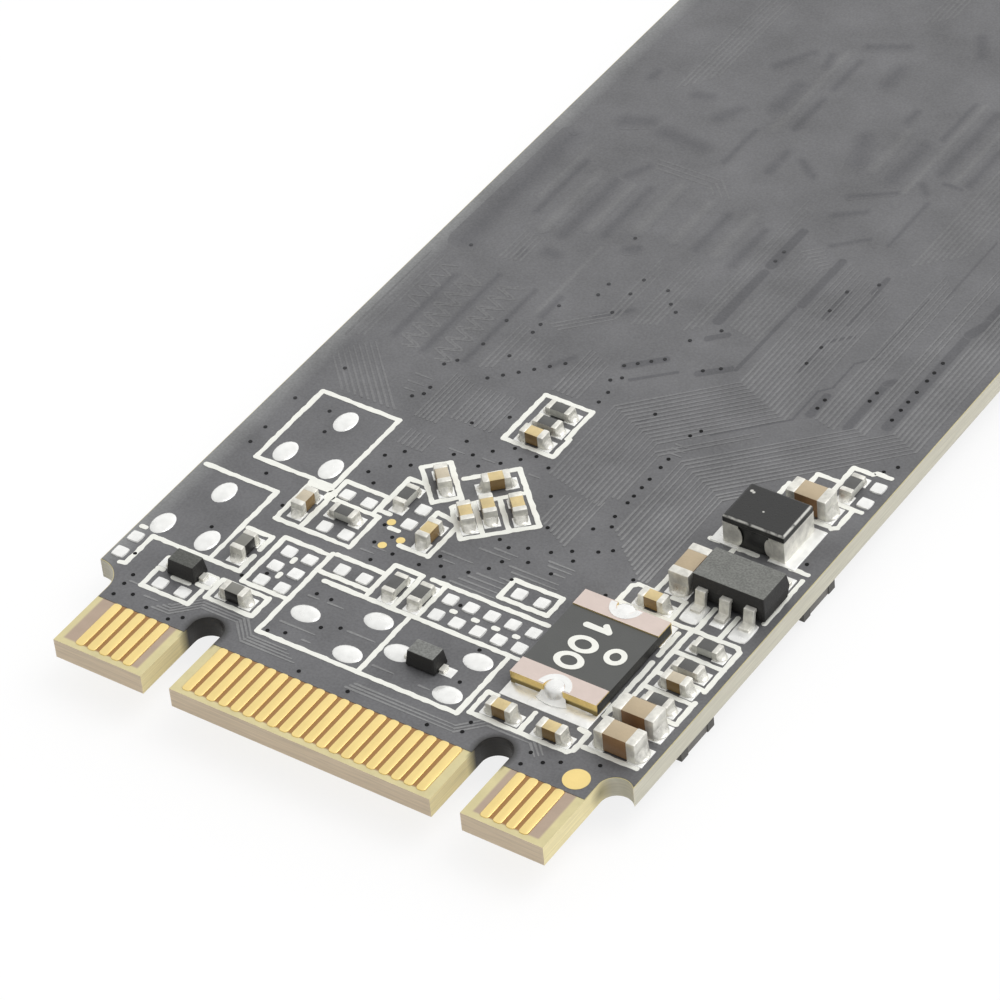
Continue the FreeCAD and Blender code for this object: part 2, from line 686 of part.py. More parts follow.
def wound_inductor():
    """Wound inductor under a resin cover, between two folded metal terminals."""
    seat = f"{UPPER_FACE} + dims.pad_height"
    wall = "dims.inductor_terminal_wall"
    core_height = "dims.inductor_height - dims.inductor_cover_height"
    half_length, half_width = "dims.inductor_length / 2", "dims.inductor_width / 2"
    body = new_body("inductor_body")
    core = sketch_on(body, "inductor_core_outline", "XY_Plane")
    rectangle(core, f"{wall} - {half_length}", f"{half_length} - {wall}",
              f"{wall} - {half_width}", f"{half_width} - {wall}")
    pad(body, core, "inductor_core", core_height)
    cover = sketch_on(body, "inductor_cover_outline", "XY_Plane", core_height)
    rectangle(cover, f"-{half_length}", half_length, f"-{half_width}", half_width)
    lid = pad(body, cover, "inductor_cover", "dims.inductor_cover_height")
    highest = max(range(len(lid.Shape.Faces)), key=lambda number: lid.Shape.Faces[number].CenterOfMass.z)
    edge = body.newObject("PartDesign::Chamfer", "inductor_cover_chamfer")
    edge.Base = (lid, [f"Face{highest + 1}"])
    edge.setExpression("Size", "dims.inductor_cover_edge")
    place_body(body, INDUCTOR_PLACE, seat)
    keep(body, "inductor_l1")
    terminals, pads = [], []
    end_size = ("dims.inductor_terminal_length", "dims.inductor_width", core_height)
    pad_size = (
        "dims.inductor_terminal_length + dims.pad_reach",
        "dims.inductor_width + 2 * dims.pad_margin",
        "dims.pad_height",
    )
    for side in (1, -1):
        tag = "a" if side > 0 else "b"
        slide = f"{side} * (dims.inductor_length - dims.inductor_terminal_length) / 2"
        end = block(f"inductor_end_{tag}", end_size, INDUCTOR_PLACE, seat, 0, slide)
        terminals.append(cut(f"inductor_terminal_{tag}", end, body))
        reach = f"{side} * (dims.inductor_length - dims.inductor_terminal_length + dims.pad_reach) / 2"
        pads.append(block(f"inductor_pad_{tag}", pad_size, INDUCTOR_PLACE, UPPER_FACE, 0, reach))
    group("inductor_terminals", terminals)
    return pads


def upper_parts():
    """Everything soldered to the upper face."""
    small_caps, small_pads = chips(SMALL_CAPACITORS, "small_capacitor")
    large_caps, large_pads = chips(LARGE_CAPACITORS, "large_capacitor")
    resistor_caps, resistor_pads = chips(RESISTORS, "resistor")
    bead_caps, bead_pads = chips(BEADS, "bead")
    group("capacitor_end_caps", small_caps + large_caps)
    group("resistor_end_caps", resistor_caps)
    group("bead_end_caps", bead_caps)
    pads = small_pads + large_pads + resistor_pads + bead_pads
    pads += diodes() + fuse() + regulator() + wound_inductor()
    group("component_solder_pads", pads)


def controller():
    """Flat no-lead controller: lands down its four sides and a ground land in the middle."""
    land_level = f"{LOWER_FACE} - dims.solder_height"
    level = f"{land_level} - dims.controller_height"
    side = "dims.controller_side"
    body = block("controller", (side, side, "dims.controller_height"), CONTROLLER_PLACE, level)
    keep(body, "controller_package")
    ground = ("dims.controller_ground_side", "dims.controller_ground_side", "dims.solder_height")
    lands = [block("controller_ground", ground, CONTROLLER_PLACE, land_level)]
    size = ("dims.controller_land_length", "dims.controller_land_width", "dims.solder_height")
    per_side = 16
    out = f"({side} - dims.controller_land_length) / 2"
    for turn in (0, 90, 180, 270):
        for number in range(per_side):
            aside = f"{number - (per_side - 1) / 2} * dims.controller_land_pitch"
            name = f"controller_land_{turn}_{number}"
            lands.append(block(name, size, CONTROLLER_PLACE, land_level, turn, out, aside))
    group("controller_solder_lands", lands)


def flash():
    """Flash packages on a grid of lands, their faces the drive's resting plane."""
    columns, lines = 6, 5
    size = ("dims.flash_land_side", "dims.flash_land_side", "dims.solder_height")
    lands = []
    for name, *place in FLASH_PLACES:
        body = block(name, ("dims.flash_width", "dims.flash_length", "dims.flash_height"), place, "0")
        keep(body, name)
        for column in range(columns):
            for line in range(lines):
                along = f"{column - (columns - 1) / 2} * dims.flash_land_pitch"
                aside = f"{line - (lines - 1) / 2} * dims.flash_land_spacing"
                spot = f"{name}_land_{column}_{line}"
                lands.append(block(spot, size, place, "dims.flash_height", 0, along, aside))
    group("flash_solder_lands", lands)


def crystal():
    """Sealed crystal with a metal lid on a ceramic base, on four lands."""
    land_level = f"{LOWER_FACE} - dims.pad_height"
    half_length, half_width = "dims.crystal_length / 2", "dims.crystal_width / 2"
    step = "dims.crystal_lid_step"
    body = new_body("crystal_body")
    base = sketch_on(body, "crystal_base_outline", "XY_Plane")
    rectangle(base, f"-{half_length}", half_length, f"-{half_width}", half_width)
    pad(body, base, "crystal_base", "dims.crystal_base_height", None, True)
    lid = sketch_on(body, "crystal_lid_outline", "XY_Plane", "-dims.crystal_base_height")
    rectangle(lid, f"{step} - {half_length}", f"{half_length} - {step}", f"{step} - {half_width}",
              f"{half_width} - {step}")
    pad(body, lid, "crystal_lid", "dims.crystal_lid_height", None, True)
    place_body(body, CRYSTAL_PLACE, land_level)
    keep(body, "crystal")
    size = ("dims.crystal_land_length", "dims.crystal_land_width", "dims.pad_height")
    pads = []
    for side in (1, -1):
        for end in (1, -1):
            along = f"{side} * (dims.crystal_length - dims.crystal_land_length) / 2"
            aside = f"{end} * (dims.crystal_width - dims.crystal_land_width) / 2"
            name = f"crystal_land_{side + 1}_{end + 1}"
            pads.append(block(name, size, CRYSTAL_PLACE, land_level, 0, along, aside))
    return pads


def lower_parts():
    """Everything soldered to the lower face."""
    controller()
    flash()
    pads = crystal()
    inductor_caps, blocks, block_caps = [], [], []
    for name, *place, turn in POWER_INDUCTORS:
        middle, ends, feet = chip(name, "power_inductor", place, turn, True)
        keep(middle, name)
        inductor_caps += ends
        pads += feet
    for number, (*place, turn) in enumerate(LOWER_CAPACITORS):
        name = f"lower_capacitor_{number}"
        middle, ends, feet = chip(name, "small_capacitor", place, turn, True)
        blocks.append(middle)
        block_caps += ends
        pads += feet
    group("power_inductor_end_caps", inductor_caps)
    group("lower_capacitors", blocks)
    group("lower_capacitor_end_caps", block_caps)
    group("lower_solder_pads", pads)


circuit_board()
edge_contacts()
screw_notch_plating()
bare_pads()
gold_dots()
upper_parts()
lower_parts()
doc.recompute()

for piece in doc.Objects:
    if "Invalid" in piece.State or "Error" in piece.State:
        raise RuntimeError(f"{piece.Label} did not build")
os.makedirs("parts", exist_ok=True)
for piece in nodes:
    if piece.Shape.isNull() or not piece.Shape.isValid():
        raise RuntimeError(f"{piece.Label} has no valid shape")
    piece.Shape.exportStep(f"parts/{piece.Label}.step")
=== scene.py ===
"""Gumstick solid state drive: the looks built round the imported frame, laid out as an add-on."""

import math
import random

import bmesh
import bpy
from bpy.props import FloatProperty, FloatVectorProperty, PointerProperty
from mathutils import Matrix, Vector


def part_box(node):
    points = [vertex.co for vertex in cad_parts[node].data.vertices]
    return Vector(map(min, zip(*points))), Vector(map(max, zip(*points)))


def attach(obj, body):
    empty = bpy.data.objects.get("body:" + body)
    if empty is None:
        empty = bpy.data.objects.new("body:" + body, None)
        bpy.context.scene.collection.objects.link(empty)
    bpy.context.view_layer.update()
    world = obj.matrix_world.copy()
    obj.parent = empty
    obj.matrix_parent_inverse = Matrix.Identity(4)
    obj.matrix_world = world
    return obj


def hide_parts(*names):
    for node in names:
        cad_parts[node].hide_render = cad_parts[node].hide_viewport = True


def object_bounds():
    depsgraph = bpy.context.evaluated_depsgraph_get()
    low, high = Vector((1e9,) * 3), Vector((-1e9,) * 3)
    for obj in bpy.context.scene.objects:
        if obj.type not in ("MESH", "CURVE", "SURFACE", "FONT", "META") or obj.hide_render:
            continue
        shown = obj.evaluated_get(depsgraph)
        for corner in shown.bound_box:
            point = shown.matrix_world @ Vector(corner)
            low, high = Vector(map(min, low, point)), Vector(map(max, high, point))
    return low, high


bl_info = {
    "name": "Gumstick Drive",
    "version": (1, 0, 0),
    "blender": (4, 5, 0),
    "location": "3D View > Sidebar > Drive",
    "description": "Builds the visible pieces and finishes of a gumstick solid state drive",
    "category": "Object",
}

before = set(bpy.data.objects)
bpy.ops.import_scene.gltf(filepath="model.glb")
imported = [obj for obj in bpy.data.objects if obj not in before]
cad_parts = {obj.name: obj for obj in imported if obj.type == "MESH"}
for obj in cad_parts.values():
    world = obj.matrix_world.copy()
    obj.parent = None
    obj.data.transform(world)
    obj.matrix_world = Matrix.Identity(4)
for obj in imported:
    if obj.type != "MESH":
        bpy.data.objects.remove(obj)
CAD_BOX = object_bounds()

MM = 0.001
BOARD_LOW, BOARD_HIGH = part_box("circuit_board")
MERGE = 1e-7
SEED = 11
MIDDLE = "middle"
LEVEL = 0.9
SMOOTH_ANGLE, SOLDER_ANGLE, SOFTEN_ANGLE = 35.0, 60.0, 40.0
ROUNDING_LIMIT = 0.45
# Strips that may cross each other differ a little in height, so that no two upper faces coincide: the step in
# millimetres, the levels within a path, the steps from path to path, and how many paths take turns.
STACK_STEP = 1e-4
SEGMENT_LEVELS, PATH_STEPS = 2, 3
LINE_TURNS, STRIP_TURNS = 9, 5
# Colour sockets of a Mix node, by number, because its sockets of other kinds have the same names.
MIX_FIRST, MIX_SECOND, MIX_RESULT = 6, 7, 2
PATCH_DETAIL, GRAIN_DETAIL, PATCH_SPREAD = 4.0, 3.0, (0.32, 0.68)
FACING_SPREAD = (0.55, 0.85)
SIDE_CONTRAST = 0.8
# Millimetres that carry a soft band past whatever it covers.
BEYOND = 1.0


def shade(red, green, blue):
    """Scene-linear colour of three display values from 0 to 255."""
    parts = (value / 255 for value in (red, green, blue))
    return tuple(v / 12.92 if v <= 0.04045 else ((v + 0.055) / 1.055) ** 2.4 for v in parts)


def length_value(name, description, default):
    """Length property, given in millimetres and kept in metres."""
    return FloatProperty(name=name, description=description, default=default * MM, min=0.0, precision=6,
                         unit="LENGTH")


def colour_value(name, description, *display):
    """Colour property, given in display values."""
    return FloatVectorProperty(name=name, description=description, default=shade(*display), subtype="COLOR",
                               size=3, min=0.0, max=1.0)


class DriveSizes(bpy.types.PropertyGroup):
    """Sizes of what is added to the solids."""
    mask_thickness: length_value("Mask thickness", "Height of the solder mask over the laminate", 0.02)
    mask_margin: length_value("Mask margin", "Bare strip between the mask and the board's edge", 0.03)
    print_width: length_value("Print width", "Width of the printed lines", 0.21)
    print_height: length_value("Print height", "Height of the printed lines over the mask", 0.012)
    trace_width: length_value("Trace width", "Width of a trace under the mask", 0.1)
    trace_height: length_value("Trace height", "Height of a trace over the mask around it", 0.008)
    via_width: length_value("Via width", "Width of a filled via", 0.15)
    chip_rounding: length_value("Chip rounding", "Radius along the edges of the chips", 0.045)
    resin_rounding: length_value("Resin rounding", "Radius along the edges of moulded packages", 0.04)
    lead_rounding: length_value("Lead rounding", "Radius along the edges of leads", 0.02)
    contact_rounding: length_value("Contact rounding", "Radius of the contacts' corners", 0.12)
    dome_height: length_value("Dome height", "Height of the solder on a bare pad", 0.085)


class DriveColours(bpy.types.PropertyGroup):
    """Colours of the finishes."""
    mask: colour_value("Mask", "Solder mask over bare laminate and copper", 114, 114, 116)
    mask_rim: colour_value("Mask rim", "Thin solder mask along the left edge", 154, 155, 154)
    near_trace: colour_value("Near trace", "Solder mask over a trace by the card edge", 146, 146, 146)
    trace: colour_value("Trace", "Solder mask over a trace", 130, 130, 131)
    strip: colour_value("Copper strip", "Solder mask over a strip of copper", 122, 122, 123)
    lane: colour_value("Lane", "Solder mask over a lane with no copper", 95, 95, 98)
    far_lane: colour_value("Faint lane", "Solder mask over a lane with copper further down", 99, 99, 102)
    via: colour_value("Via", "Filled vias", 10, 10, 11)
    far_via: colour_value("Far via", "Filled vias further back, with mask over them", 84, 84, 86)
    print_white: colour_value("Print", "Printed lines", 250, 250, 242)
    laminate: colour_value("Laminate", "Bare laminate", 224, 212, 162)
    laminate_pink: colour_value("Laminate over copper", "Laminate with a copper plane beneath", 186, 165, 146)
    laminate_edge: colour_value("Tongue edge", "Cut edge of the laminate before the contacts", 246, 225, 195)
    # Paler, yellower copy of the cut edge's colour for faces turned to the right: painted light.
    laminate_lit_side: colour_value("Tongue side", "Cut edge of the laminate beside the contacts", 254, 240, 186)
    board_edge: colour_value("Board edge", "Cut edge of the laminate along the board", 216, 212, 194)
    # Darker, oranger laminate between the contacts: painted shade and gold reflection.
    contact_gap_shade: colour_value("Contact gap", "Laminate between the contacts", 162, 120, 70)
    # Painted shade: the dark laid on the walls of the key notches and on the mask round their ends.
    notch: colour_value("Notch", "Stained walls of the key notches", 34, 32, 29)
    gold: colour_value("Gold", "Plated contacts", 246, 220, 148)
    solder: colour_value("Solder", "Bright solder", 253, 253, 250)
    terminal: colour_value("Terminal", "Tinned end caps and leads", 242, 240, 231)
    ceramic_tan: colour_value("Tan ceramic", "Larger capacitors", 192, 173, 142)
    ceramic_yellow: colour_value("Yellow ceramic", "Smaller capacitors", 226, 203, 148)
    ceramic_pale: colour_value("Pale ceramic", "Lighter ones of the smaller capacitors", 212, 200, 176)
    # The capacitors' sides are darker than their tops: painted shade.
    ceramic_shaded_side: colour_value("Ceramic side", "Sides of the smaller capacitors", 142, 114, 68)
    tan_shaded_side: colour_value("Tan side", "Sides of the larger capacitors", 150, 114, 78)
    alumina: colour_value("Alumina", "Sides of the resistors", 206, 206, 198)
    film: colour_value("Film", "Dark tops of the resistors", 90, 90, 88)
    ferrite: colour_value("Ferrite", "Tops of the beads", 132, 131, 124)
    resin_top: colour_value("Resin top", "Matt tops of moulded packages", 130, 131, 126)
    diode_top: colour_value("Diode top", "Worn top of the middle diode", 138, 139, 135)
    dark_diode_top: colour_value("Dark diode top", "Top of the diode by the left tongue", 92, 93, 88)
    # Much darker than the tops: partly the smooth black of moulded resin, partly painted shade; on the beads
    # and the fuse body it is painted shade.
    resin_side_and_shade: colour_value("Resin side", "Smooth sides of moulded packages", 22, 21, 20)
    fuse: colour_value("Fuse", "Fuse laminate", 84, 85, 83)
    foil: colour_value("Foil", "Fuse terminals", 222, 205, 196)
    brass: colour_value("Foil edge", "Ends of the fuse terminals", 252, 224, 148)
    inductor: colour_value("Inductor", "Inductor cover", 30, 30, 29)
    edge_highlight_and_scuffs: colour_value("Worn edge", "Rubbed edges of the inductor cover", 208, 207, 200)
    # Painted highlight along the inductor cover's front and right upper edges; its scuffs share this colour.
    package: colour_value("Package", "Packages of the lower face", 42, 42, 44)
    power_inductor: colour_value("Power inductor", "Parts under the right edge", 104, 100, 95)
    dark_metal: colour_value("Dark metal", "End caps of the power inductors", 84, 82, 78)
    crystal: colour_value("Crystal", "Crystal lid", 196, 196, 192)


class StageSettings(bpy.types.PropertyGroup):
    """Camera and light."""
    lens: FloatProperty(name="Lens", description="Focal length in millimetres", default=174.32, min=1.0)
    sky_front: FloatProperty(name="Front sky", description="Strength of the sky before the card edge",
                             default=0.12, min=0.0)
    sky_back: FloatProperty(name="Back sky", description="Strength of the sky behind the drive", default=1.22,
                            min=0.0)
    key: FloatProperty(name="Key", description="Power of the lamp above, in watts", default=1.1, min=0.0)
    floor_glow: FloatProperty(name="Floor glow", description="Share of the floor's own white", default=0.8,
                              min=0.0, max=1.0, subtype="FACTOR")


# Places on the board, in millimetres: across from the centre line, back from the card edge, up from the face.
def spot(across, back, up=0.0):
    """Point of the frame at a place on the board's upper face."""
    return Vector((across * MM, BOARD_LOW.y + back * MM, BOARD_HIGH.z + up * MM))


def new_piece(name, bm, material, stands_for=(), smooth_angle=SMOOTH_ANGLE):
    """Object of a finished mesh that rides on the drive."""
    mesh = bpy.data.meshes.new(name)
    bm.to_mesh(mesh)
    bm.free()
    for finish in material if isinstance(material, (list, tuple)) else (material,):
        mesh.materials.append(finish)
    mesh.shade_smooth()
    mesh.set_sharp_from_angle(angle=math.radians(smooth_angle))
    piece = bpy.data.objects.new(name, mesh)
    bpy.context.scene.collection.objects.link(piece)
    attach(piece, "root")
    if stands_for:
        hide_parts(*stands_for)
    return piece


def paint(node, material):
    """Give a solid of the frame its finish."""
    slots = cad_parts[node].material_slots
    if not slots:
        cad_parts[node].data.materials.append(material)
    for holder in slots:
        holder.material = material


def soften(node, width):
    """Round the sharp edges of a solid of the frame with modifiers."""
    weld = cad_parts[node].modifiers.new("weld", "WELD")
    weld.merge_threshold = MERGE
    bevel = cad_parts[node].modifiers.new("bevel", "BEVEL")
    bevel.width = width
    bevel.segments = 2
    bevel.limit_method = "ANGLE"
    bevel.angle_limit = math.radians(SOFTEN_ANGLE)
    bevel.use_clamp_overlap = True


def add_mesh(bm, part):
    """Put one bmesh into another and free it."""
    mesh = bpy.data.meshes.new("part")
    part.to_mesh(mesh)
    part.free()
    bm.from_mesh(mesh)
    bpy.data.meshes.remove(mesh)


def add_placed(bm, part, place):
    """Move one bmesh to its place and put it into another."""
    bmesh.ops.transform(part, matrix=place, verts=part.verts)
    add_mesh(bm, part)


def cut_off(bm, point, normal, tolerance=MERGE):
    """Take away what lies behind a plane."""
    bmesh.ops.bisect_plane(bm, geom=bm.verts[:] + bm.edges[:] + bm.faces[:], dist=tolerance, plane_co=point,
                           plane_no=normal, clear_inner=True)


def close_holes(bm):
    """Fill the open rims of a bmesh."""
    bmesh.ops.holes_fill(bm, edges=[edge for edge in bm.edges if edge.is_boundary], sides=0)


def raise_faces(bm, height):
    """Give a flat sheet a thickness."""
    solid = bmesh.ops.extrude_face_region(bm, geom=bm.faces[:], use_keep_orig=True)
    outer = [item for item in solid["geom"] if isinstance(item, bmesh.types.BMVert)]
    bmesh.ops.translate(bm, vec=(0, 0, height), verts=outer)
    bmesh.ops.recalc_face_normals(bm, faces=bm.faces[:])


def stacked(height, steps):
    """Height with some stack steps added."""
    return height + STACK_STEP * MM * steps


def islands(node):
    """Corners of each separate solid of a node, sorted by rounded centres, so that every run agrees."""
    bm = bmesh.new()
    bm.from_mesh(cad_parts[node].data)
    bmesh.ops.remove_doubles(bm, verts=bm.verts, dist=MERGE)
    seen, found = set(), []
    for start in bm.verts:
        if start in seen:
            continue
        seen.add(start)
        front, solid = [start], []
        while front:
            vert = front.pop()
            solid.append(vert.co.copy())
            others = [edge.other_vert(vert) for edge in vert.link_edges]
            front += [other for other in others if other not in seen]
            seen.update(others)
        found.append(solid)
    bm.free()
    digits = 7
    found.sort(key=lambda solid: [round(value, digits) for value in sum(solid, Vector()) / len(solid)])
    return found


class Block:
    """Upright block round a solid's corners, square to the board or at 45 degrees."""

    def __init__(self, corners):
        fits = []
        for turn in (0.0, math.pi / 4):
            turned = [Matrix.Rotation(-turn, 3, "Z") @ corner for corner in corners]
            low = Vector(min(c[axis] for c in turned) for axis in range(3))
            high = Vector(max(c[axis] for c in turned) for axis in range(3))
            fits.append(((high.x - low.x) * (high.y - low.y), turn, low, high))
        square, slanted = fits
        slack = 0.98
        _, turn, low, high = slanted if slanted[0] < slack * square[0] else square
        self.size = high - low
        self.rotation = Matrix.Rotation(turn, 4, "Z")
        self.centre = self.rotation @ ((low + high) / 2)
        self.low, self.high = low.z, high.z
        self.foot = Vector((self.centre.x, self.centre.y, self.low))


def block_of(node):
    """Block round a node of one solid."""
    return Block([vert.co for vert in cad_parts[node].data.vertices])


def blocks_of(node):
    """Block round each separate solid of a node."""
    return [Block(corners) for corners in islands(node)]


def sized_cube(size):
    """Block of a size round the origin."""
    part = bmesh.new()
    bmesh.ops.create_cube(part, size=1.0)
    bmesh.ops.scale(part, vec=size, verts=part.verts)
    return part


def rounded_block(bm, block, rounding):
    """Block with rounded edges, in place."""
    part = sized_cube(block.size)
    radius = min(rounding, ROUNDING_LIMIT * min(block.size))
    bmesh.ops.bevel(part, geom=part.edges[:], offset=radius, offset_type="OFFSET", segments=2, profile=0.5,
                    affect="EDGES", clamp_overlap=True, material=-1)
    add_placed(bm, part, Matrix.Translation(block.centre) @ block.rotation)


def dome(bm, foot, size, fullness=1.0):
    """Oval bead of solder, flat beneath, standing on a point; a low fullness makes its sides steeper."""
    part = bmesh.new()
    bmesh.ops.create_uvsphere(part, u_segments=20, v_segments=10, radius=1.0)
    cut_off(part, (0, 0, 0), (0, 0, 1), tolerance=1e-5)
    close_holes(part)
    bmesh.ops.recalc_face_normals(part, faces=part.faces[:])
    for vert in part.verts:
        vert.co.z = max(vert.co.z, 0.0) ** fullness
    bmesh.ops.scale(part, vec=(size[0] / 2, size[1] / 2, size[2]), verts=part.verts)
    add_placed(bm, part, Matrix.Translation(foot))


def pillow(bm, block, height, draw):
    """Square pad wetted with solder: a cushion whose top leans a little, each its own way."""
    unevenness = 0.18
    part = bmesh.new()
    bmesh.ops.create_cube(part, size=1.0)
    bmesh.ops.subdivide_edges(part, edges=part.edges[:], cuts=3, use_grid_fill=True)
    for _ in range(2):
        bmesh.ops.smooth_vert(part, verts=part.verts[:], factor=0.5, use_axis_x=True, use_axis_y=True,
                              use_axis_z=True)
    reach = max(vert.co.x for vert in part.verts)
    bmesh.ops.scale(part, vec=(block.size.x / 2 / reach, block.size.y / 2 / reach, height / reach),
                    verts=part.verts)
    lean = Vector((draw.uniform(-1, 1), draw.uniform(-1, 1)))
    half = max(block.size.x, block.size.y) / 2
    for vert in part.verts:
        if vert.co.z > 0:
            vert.co.z *= 1 + unevenness * (vert.co.x * lean.x + vert.co.y * lean.y) / half
    bmesh.ops.transform(part, matrix=Matrix.Translation(block.foot) @ block.rotation, verts=part.verts)
    cut_off(part, block.foot, (0, 0, 1))
    close_holes(part)
    add_mesh(bm, part)


def roughen_sides(part, length, width, draw, raggedness):
    """Move points along a strip's long sides out or in by a share of its width."""
    spacing = 0.9 * width
    long_edges = [edge for edge in part.edges if edge.calc_length() > width]
    cuts = int(length / spacing)
    if cuts and long_edges:
        made = bmesh.ops.subdivide_edges(part, edges=long_edges, cuts=cuts)
        for item in made["geom_inner"]:
            if isinstance(item, bmesh.types.BMVert):
                item.co.y += draw.uniform(-raggedness, raggedness) * width


def stroke(bm, start, end, width, height, level, around=12, draw=None, raggedness=0.0):
    """Straight strip with round ends lying on the board, its sides uneven where a draw is given."""
    first, last = spot(*start), spot(*end)
    run = last - first
    part = bmesh.new()
    bmesh.ops.create_circle(part, cap_ends=True, segments=around, radius=width / 2)
    ahead = [vert for vert in part.verts if vert.co.x > MERGE]
    bmesh.ops.translate(part, vec=(run.length, 0, 0), verts=ahead)
    if draw:
        roughen_sides(part, run.length, width, draw, raggedness)
    raise_faces(part, height)
    turn = Matrix.Rotation(math.atan2(run.y, run.x), 4, "Z")
    add_placed(bm, part, Matrix.Translation(first + Vector((0, 0, level))) @ turn)


def polyline(bm, points, width, height, level, **how):
    """Strips end to end along a path."""
    for number, (start, end) in enumerate(zip(points, points[1:])):
        stroke(bm, start, end, width, stacked(height, number % SEGMENT_LEVELS), level, **how)


def ring(bm, centre, inner, outer, height, around=24, stretch=(1.0, 1.0)):
    """Flat ring or oval standing on a point."""
    part = bmesh.new()
    for radius in (inner, outer):
        bmesh.ops.create_circle(part, cap_ends=False, segments=around, radius=radius)
    bmesh.ops.bridge_loops(part, edges=part.edges[:])
    raise_faces(part, height)
    bmesh.ops.scale(part, vec=(*stretch, 1.0), verts=part.verts)
    add_placed(bm, part, Matrix.Translation(centre))


def half_ring(bm, centre, inner, outer, height, inward):
    """Half of a flat ring, cut along the board's width and lying on its inward side."""
    part = bmesh.new()
    ring(part, centre, inner, outer, height)
    cut_off(part, centre, (0, inward, 0))
    close_holes(part)
    add_mesh(bm, part)


def disc(bm, centre, radius, height):
    """Flat round standing on a point."""
    part = bmesh.new()
    bmesh.ops.create_cone(part, cap_ends=True, segments=10, radius1=radius, radius2=radius, depth=height)
    add_placed(bm, part, Matrix.Translation(centre + Vector((0, 0, height / 2))))


def fillet(bm, foot, outward, width, reach, rise, pinch=0.25):
    """Solder drawn up the end of a chip: steep at the chip, thin and round at its pinched or flared toe."""
    part = bmesh.new()
    bmesh.ops.create_cube(part, size=1.0)
    level = [edge for edge in part.edges if abs(edge.verts[0].co.z - edge.verts[1].co.z) < 0.5]
    bmesh.ops.subdivide_edges(part, edges=level, cuts=4, use_grid_fill=True)
    toe, bow, crown = 0.12, 0.4, 0.35
    for vert in part.verts:
        out, aside, up = vert.co.x + 0.5, 2 * vert.co.y, vert.co.z + 0.5
        slope = toe + (1 - toe) * (1 - out) ** 2
        vert.co = (out * reach * (1 - bow * aside ** 2), aside * width / 2 * (1 - pinch * out),
                   up * rise * slope * (1 - crown * out * aside ** 2))
    turn = Matrix.Rotation(math.atan2(outward.y, outward.x), 4, "Z")
    add_placed(bm, part, Matrix.Translation(foot) @ turn)


def fade_edges(bm, width):
    """Mark the middle of each level upper face, so that a finish can fade towards its rim."""
    bm.normal_update()
    middle = bm.verts.layers.float.new(MIDDLE)
    tops = [face for face in bm.faces if face.normal.z > LEVEL]
    bmesh.ops.inset_individual(bm, faces=tops, thickness=width, use_even_offset=True)
    for face in tops:
        for vert in face.verts:
            vert[middle] = 1.0


def beside(path, distance):
    """Path moved to its right by a distance, its corners mitred."""
    points = [Vector(point) for point in path]
    headings = [(after - before).normalized() for before, after in zip(points, points[1:])]
    moved = []
    for index, point in enumerate(points):
        first = headings[max(index - 1, 0)]
        last = headings[min(index, len(headings) - 1)]
        right = Vector((first.y, -first.x)) + Vector((last.y, -last.x))
        right.normalize()
        moved.append(point + right * distance / right.dot(Vector((first.y, -first.x))))
    return moved


# Shared effects, as node groups.
def set_inputs(tree, node, inputs):
    """Give inputs of a node their values, or join them to sockets."""
    for key, value in inputs.items():
        if isinstance(value, bpy.types.NodeSocket):
            tree.links.new(value, node.inputs[key])
        else:
            node.inputs[key].default_value = value


def add_node(tree, kind, inputs, **settings):
    """New node with its settings and inputs."""
    node = tree.nodes.new(kind)
    for name, value in settings.items():
        setattr(node, name, value)
    set_inputs(tree, node, inputs)
    return node


def new_group(name, inputs, outputs):
    """Empty shader node group with named sockets."""
    tree = bpy.data.node_groups.new(name, "ShaderNodeTree")
    for label, kind, default in inputs:
        socket = tree.interface.new_socket(label, in_out="INPUT", socket_type=kind)
        socket.default_value = default
    for label, kind in outputs:
        tree.interface.new_socket(label, in_out="OUTPUT", socket_type=kind)
    return tree, tree.nodes.new("NodeGroupInput"), tree.nodes.new("NodeGroupOutput")


def millimetres(tree):
    """Object coordinates scaled to millimetres."""
    coordinates = tree.nodes.new("ShaderNodeTexCoord")
    scaled = add_node(tree, "ShaderNodeVectorMath", {0: coordinates.outputs["Object"], "Scale": 1 / MM},
                      operation="SCALE")
    return scaled.outputs["Vector"]


def axes(tree):
    """Place in millimetres, whole and by its axes."""
    place = millimetres(tree)
    return place, add_node(tree, "ShaderNodeSeparateXYZ", {0: place}).outputs


def noise(tree, place, scale, detail):
    """Soft noise of a scale and a detail."""
    node = add_node(tree, "ShaderNodeTexNoise", {"Vector": place, "Scale": scale, "Detail": detail})
    return node.outputs["Fac"]


def ramp(tree, socket, start, end, low=0.0, high=1.0):
    """Value that goes from low to high while a socket goes from start to end."""
    node = add_node(tree, "ShaderNodeMapRange", {"Value": socket, "From Min": start, "From Max": end,
                                                 "To Min": low, "To Max": high})
    return node.outputs["Result"]


def combine(tree, operation, first, second):
    """Two masks joined by one operation; the second may be a number."""
    node = add_node(tree, "ShaderNodeMath", {0: first, 1: second}, operation=operation)
    return node.outputs["Value"]


def largest(tree, masks):
    """Greatest of several masks."""
    whole = masks[0]
    for mask in masks[1:]:
        whole = combine(tree, "MAXIMUM", whole, mask)
    return whole


def window(tree, socket, low, high, soft):
    """Mask of a soft-edged band of one coordinate."""
    rising = ramp(tree, socket, low - soft, low + soft)
    falling = ramp(tree, socket, high + soft, high - soft)
    return combine(tree, "MULTIPLY", rising, falling)


def blend_colours(tree, factor, first, second):
    """Colour between two, each a socket or a colour."""
    node = add_node(tree, "ShaderNodeMix", {"Factor": factor, MIX_FIRST: first, MIX_SECOND: second},
                    data_type="RGBA")
    return node.outputs[MIX_RESULT]


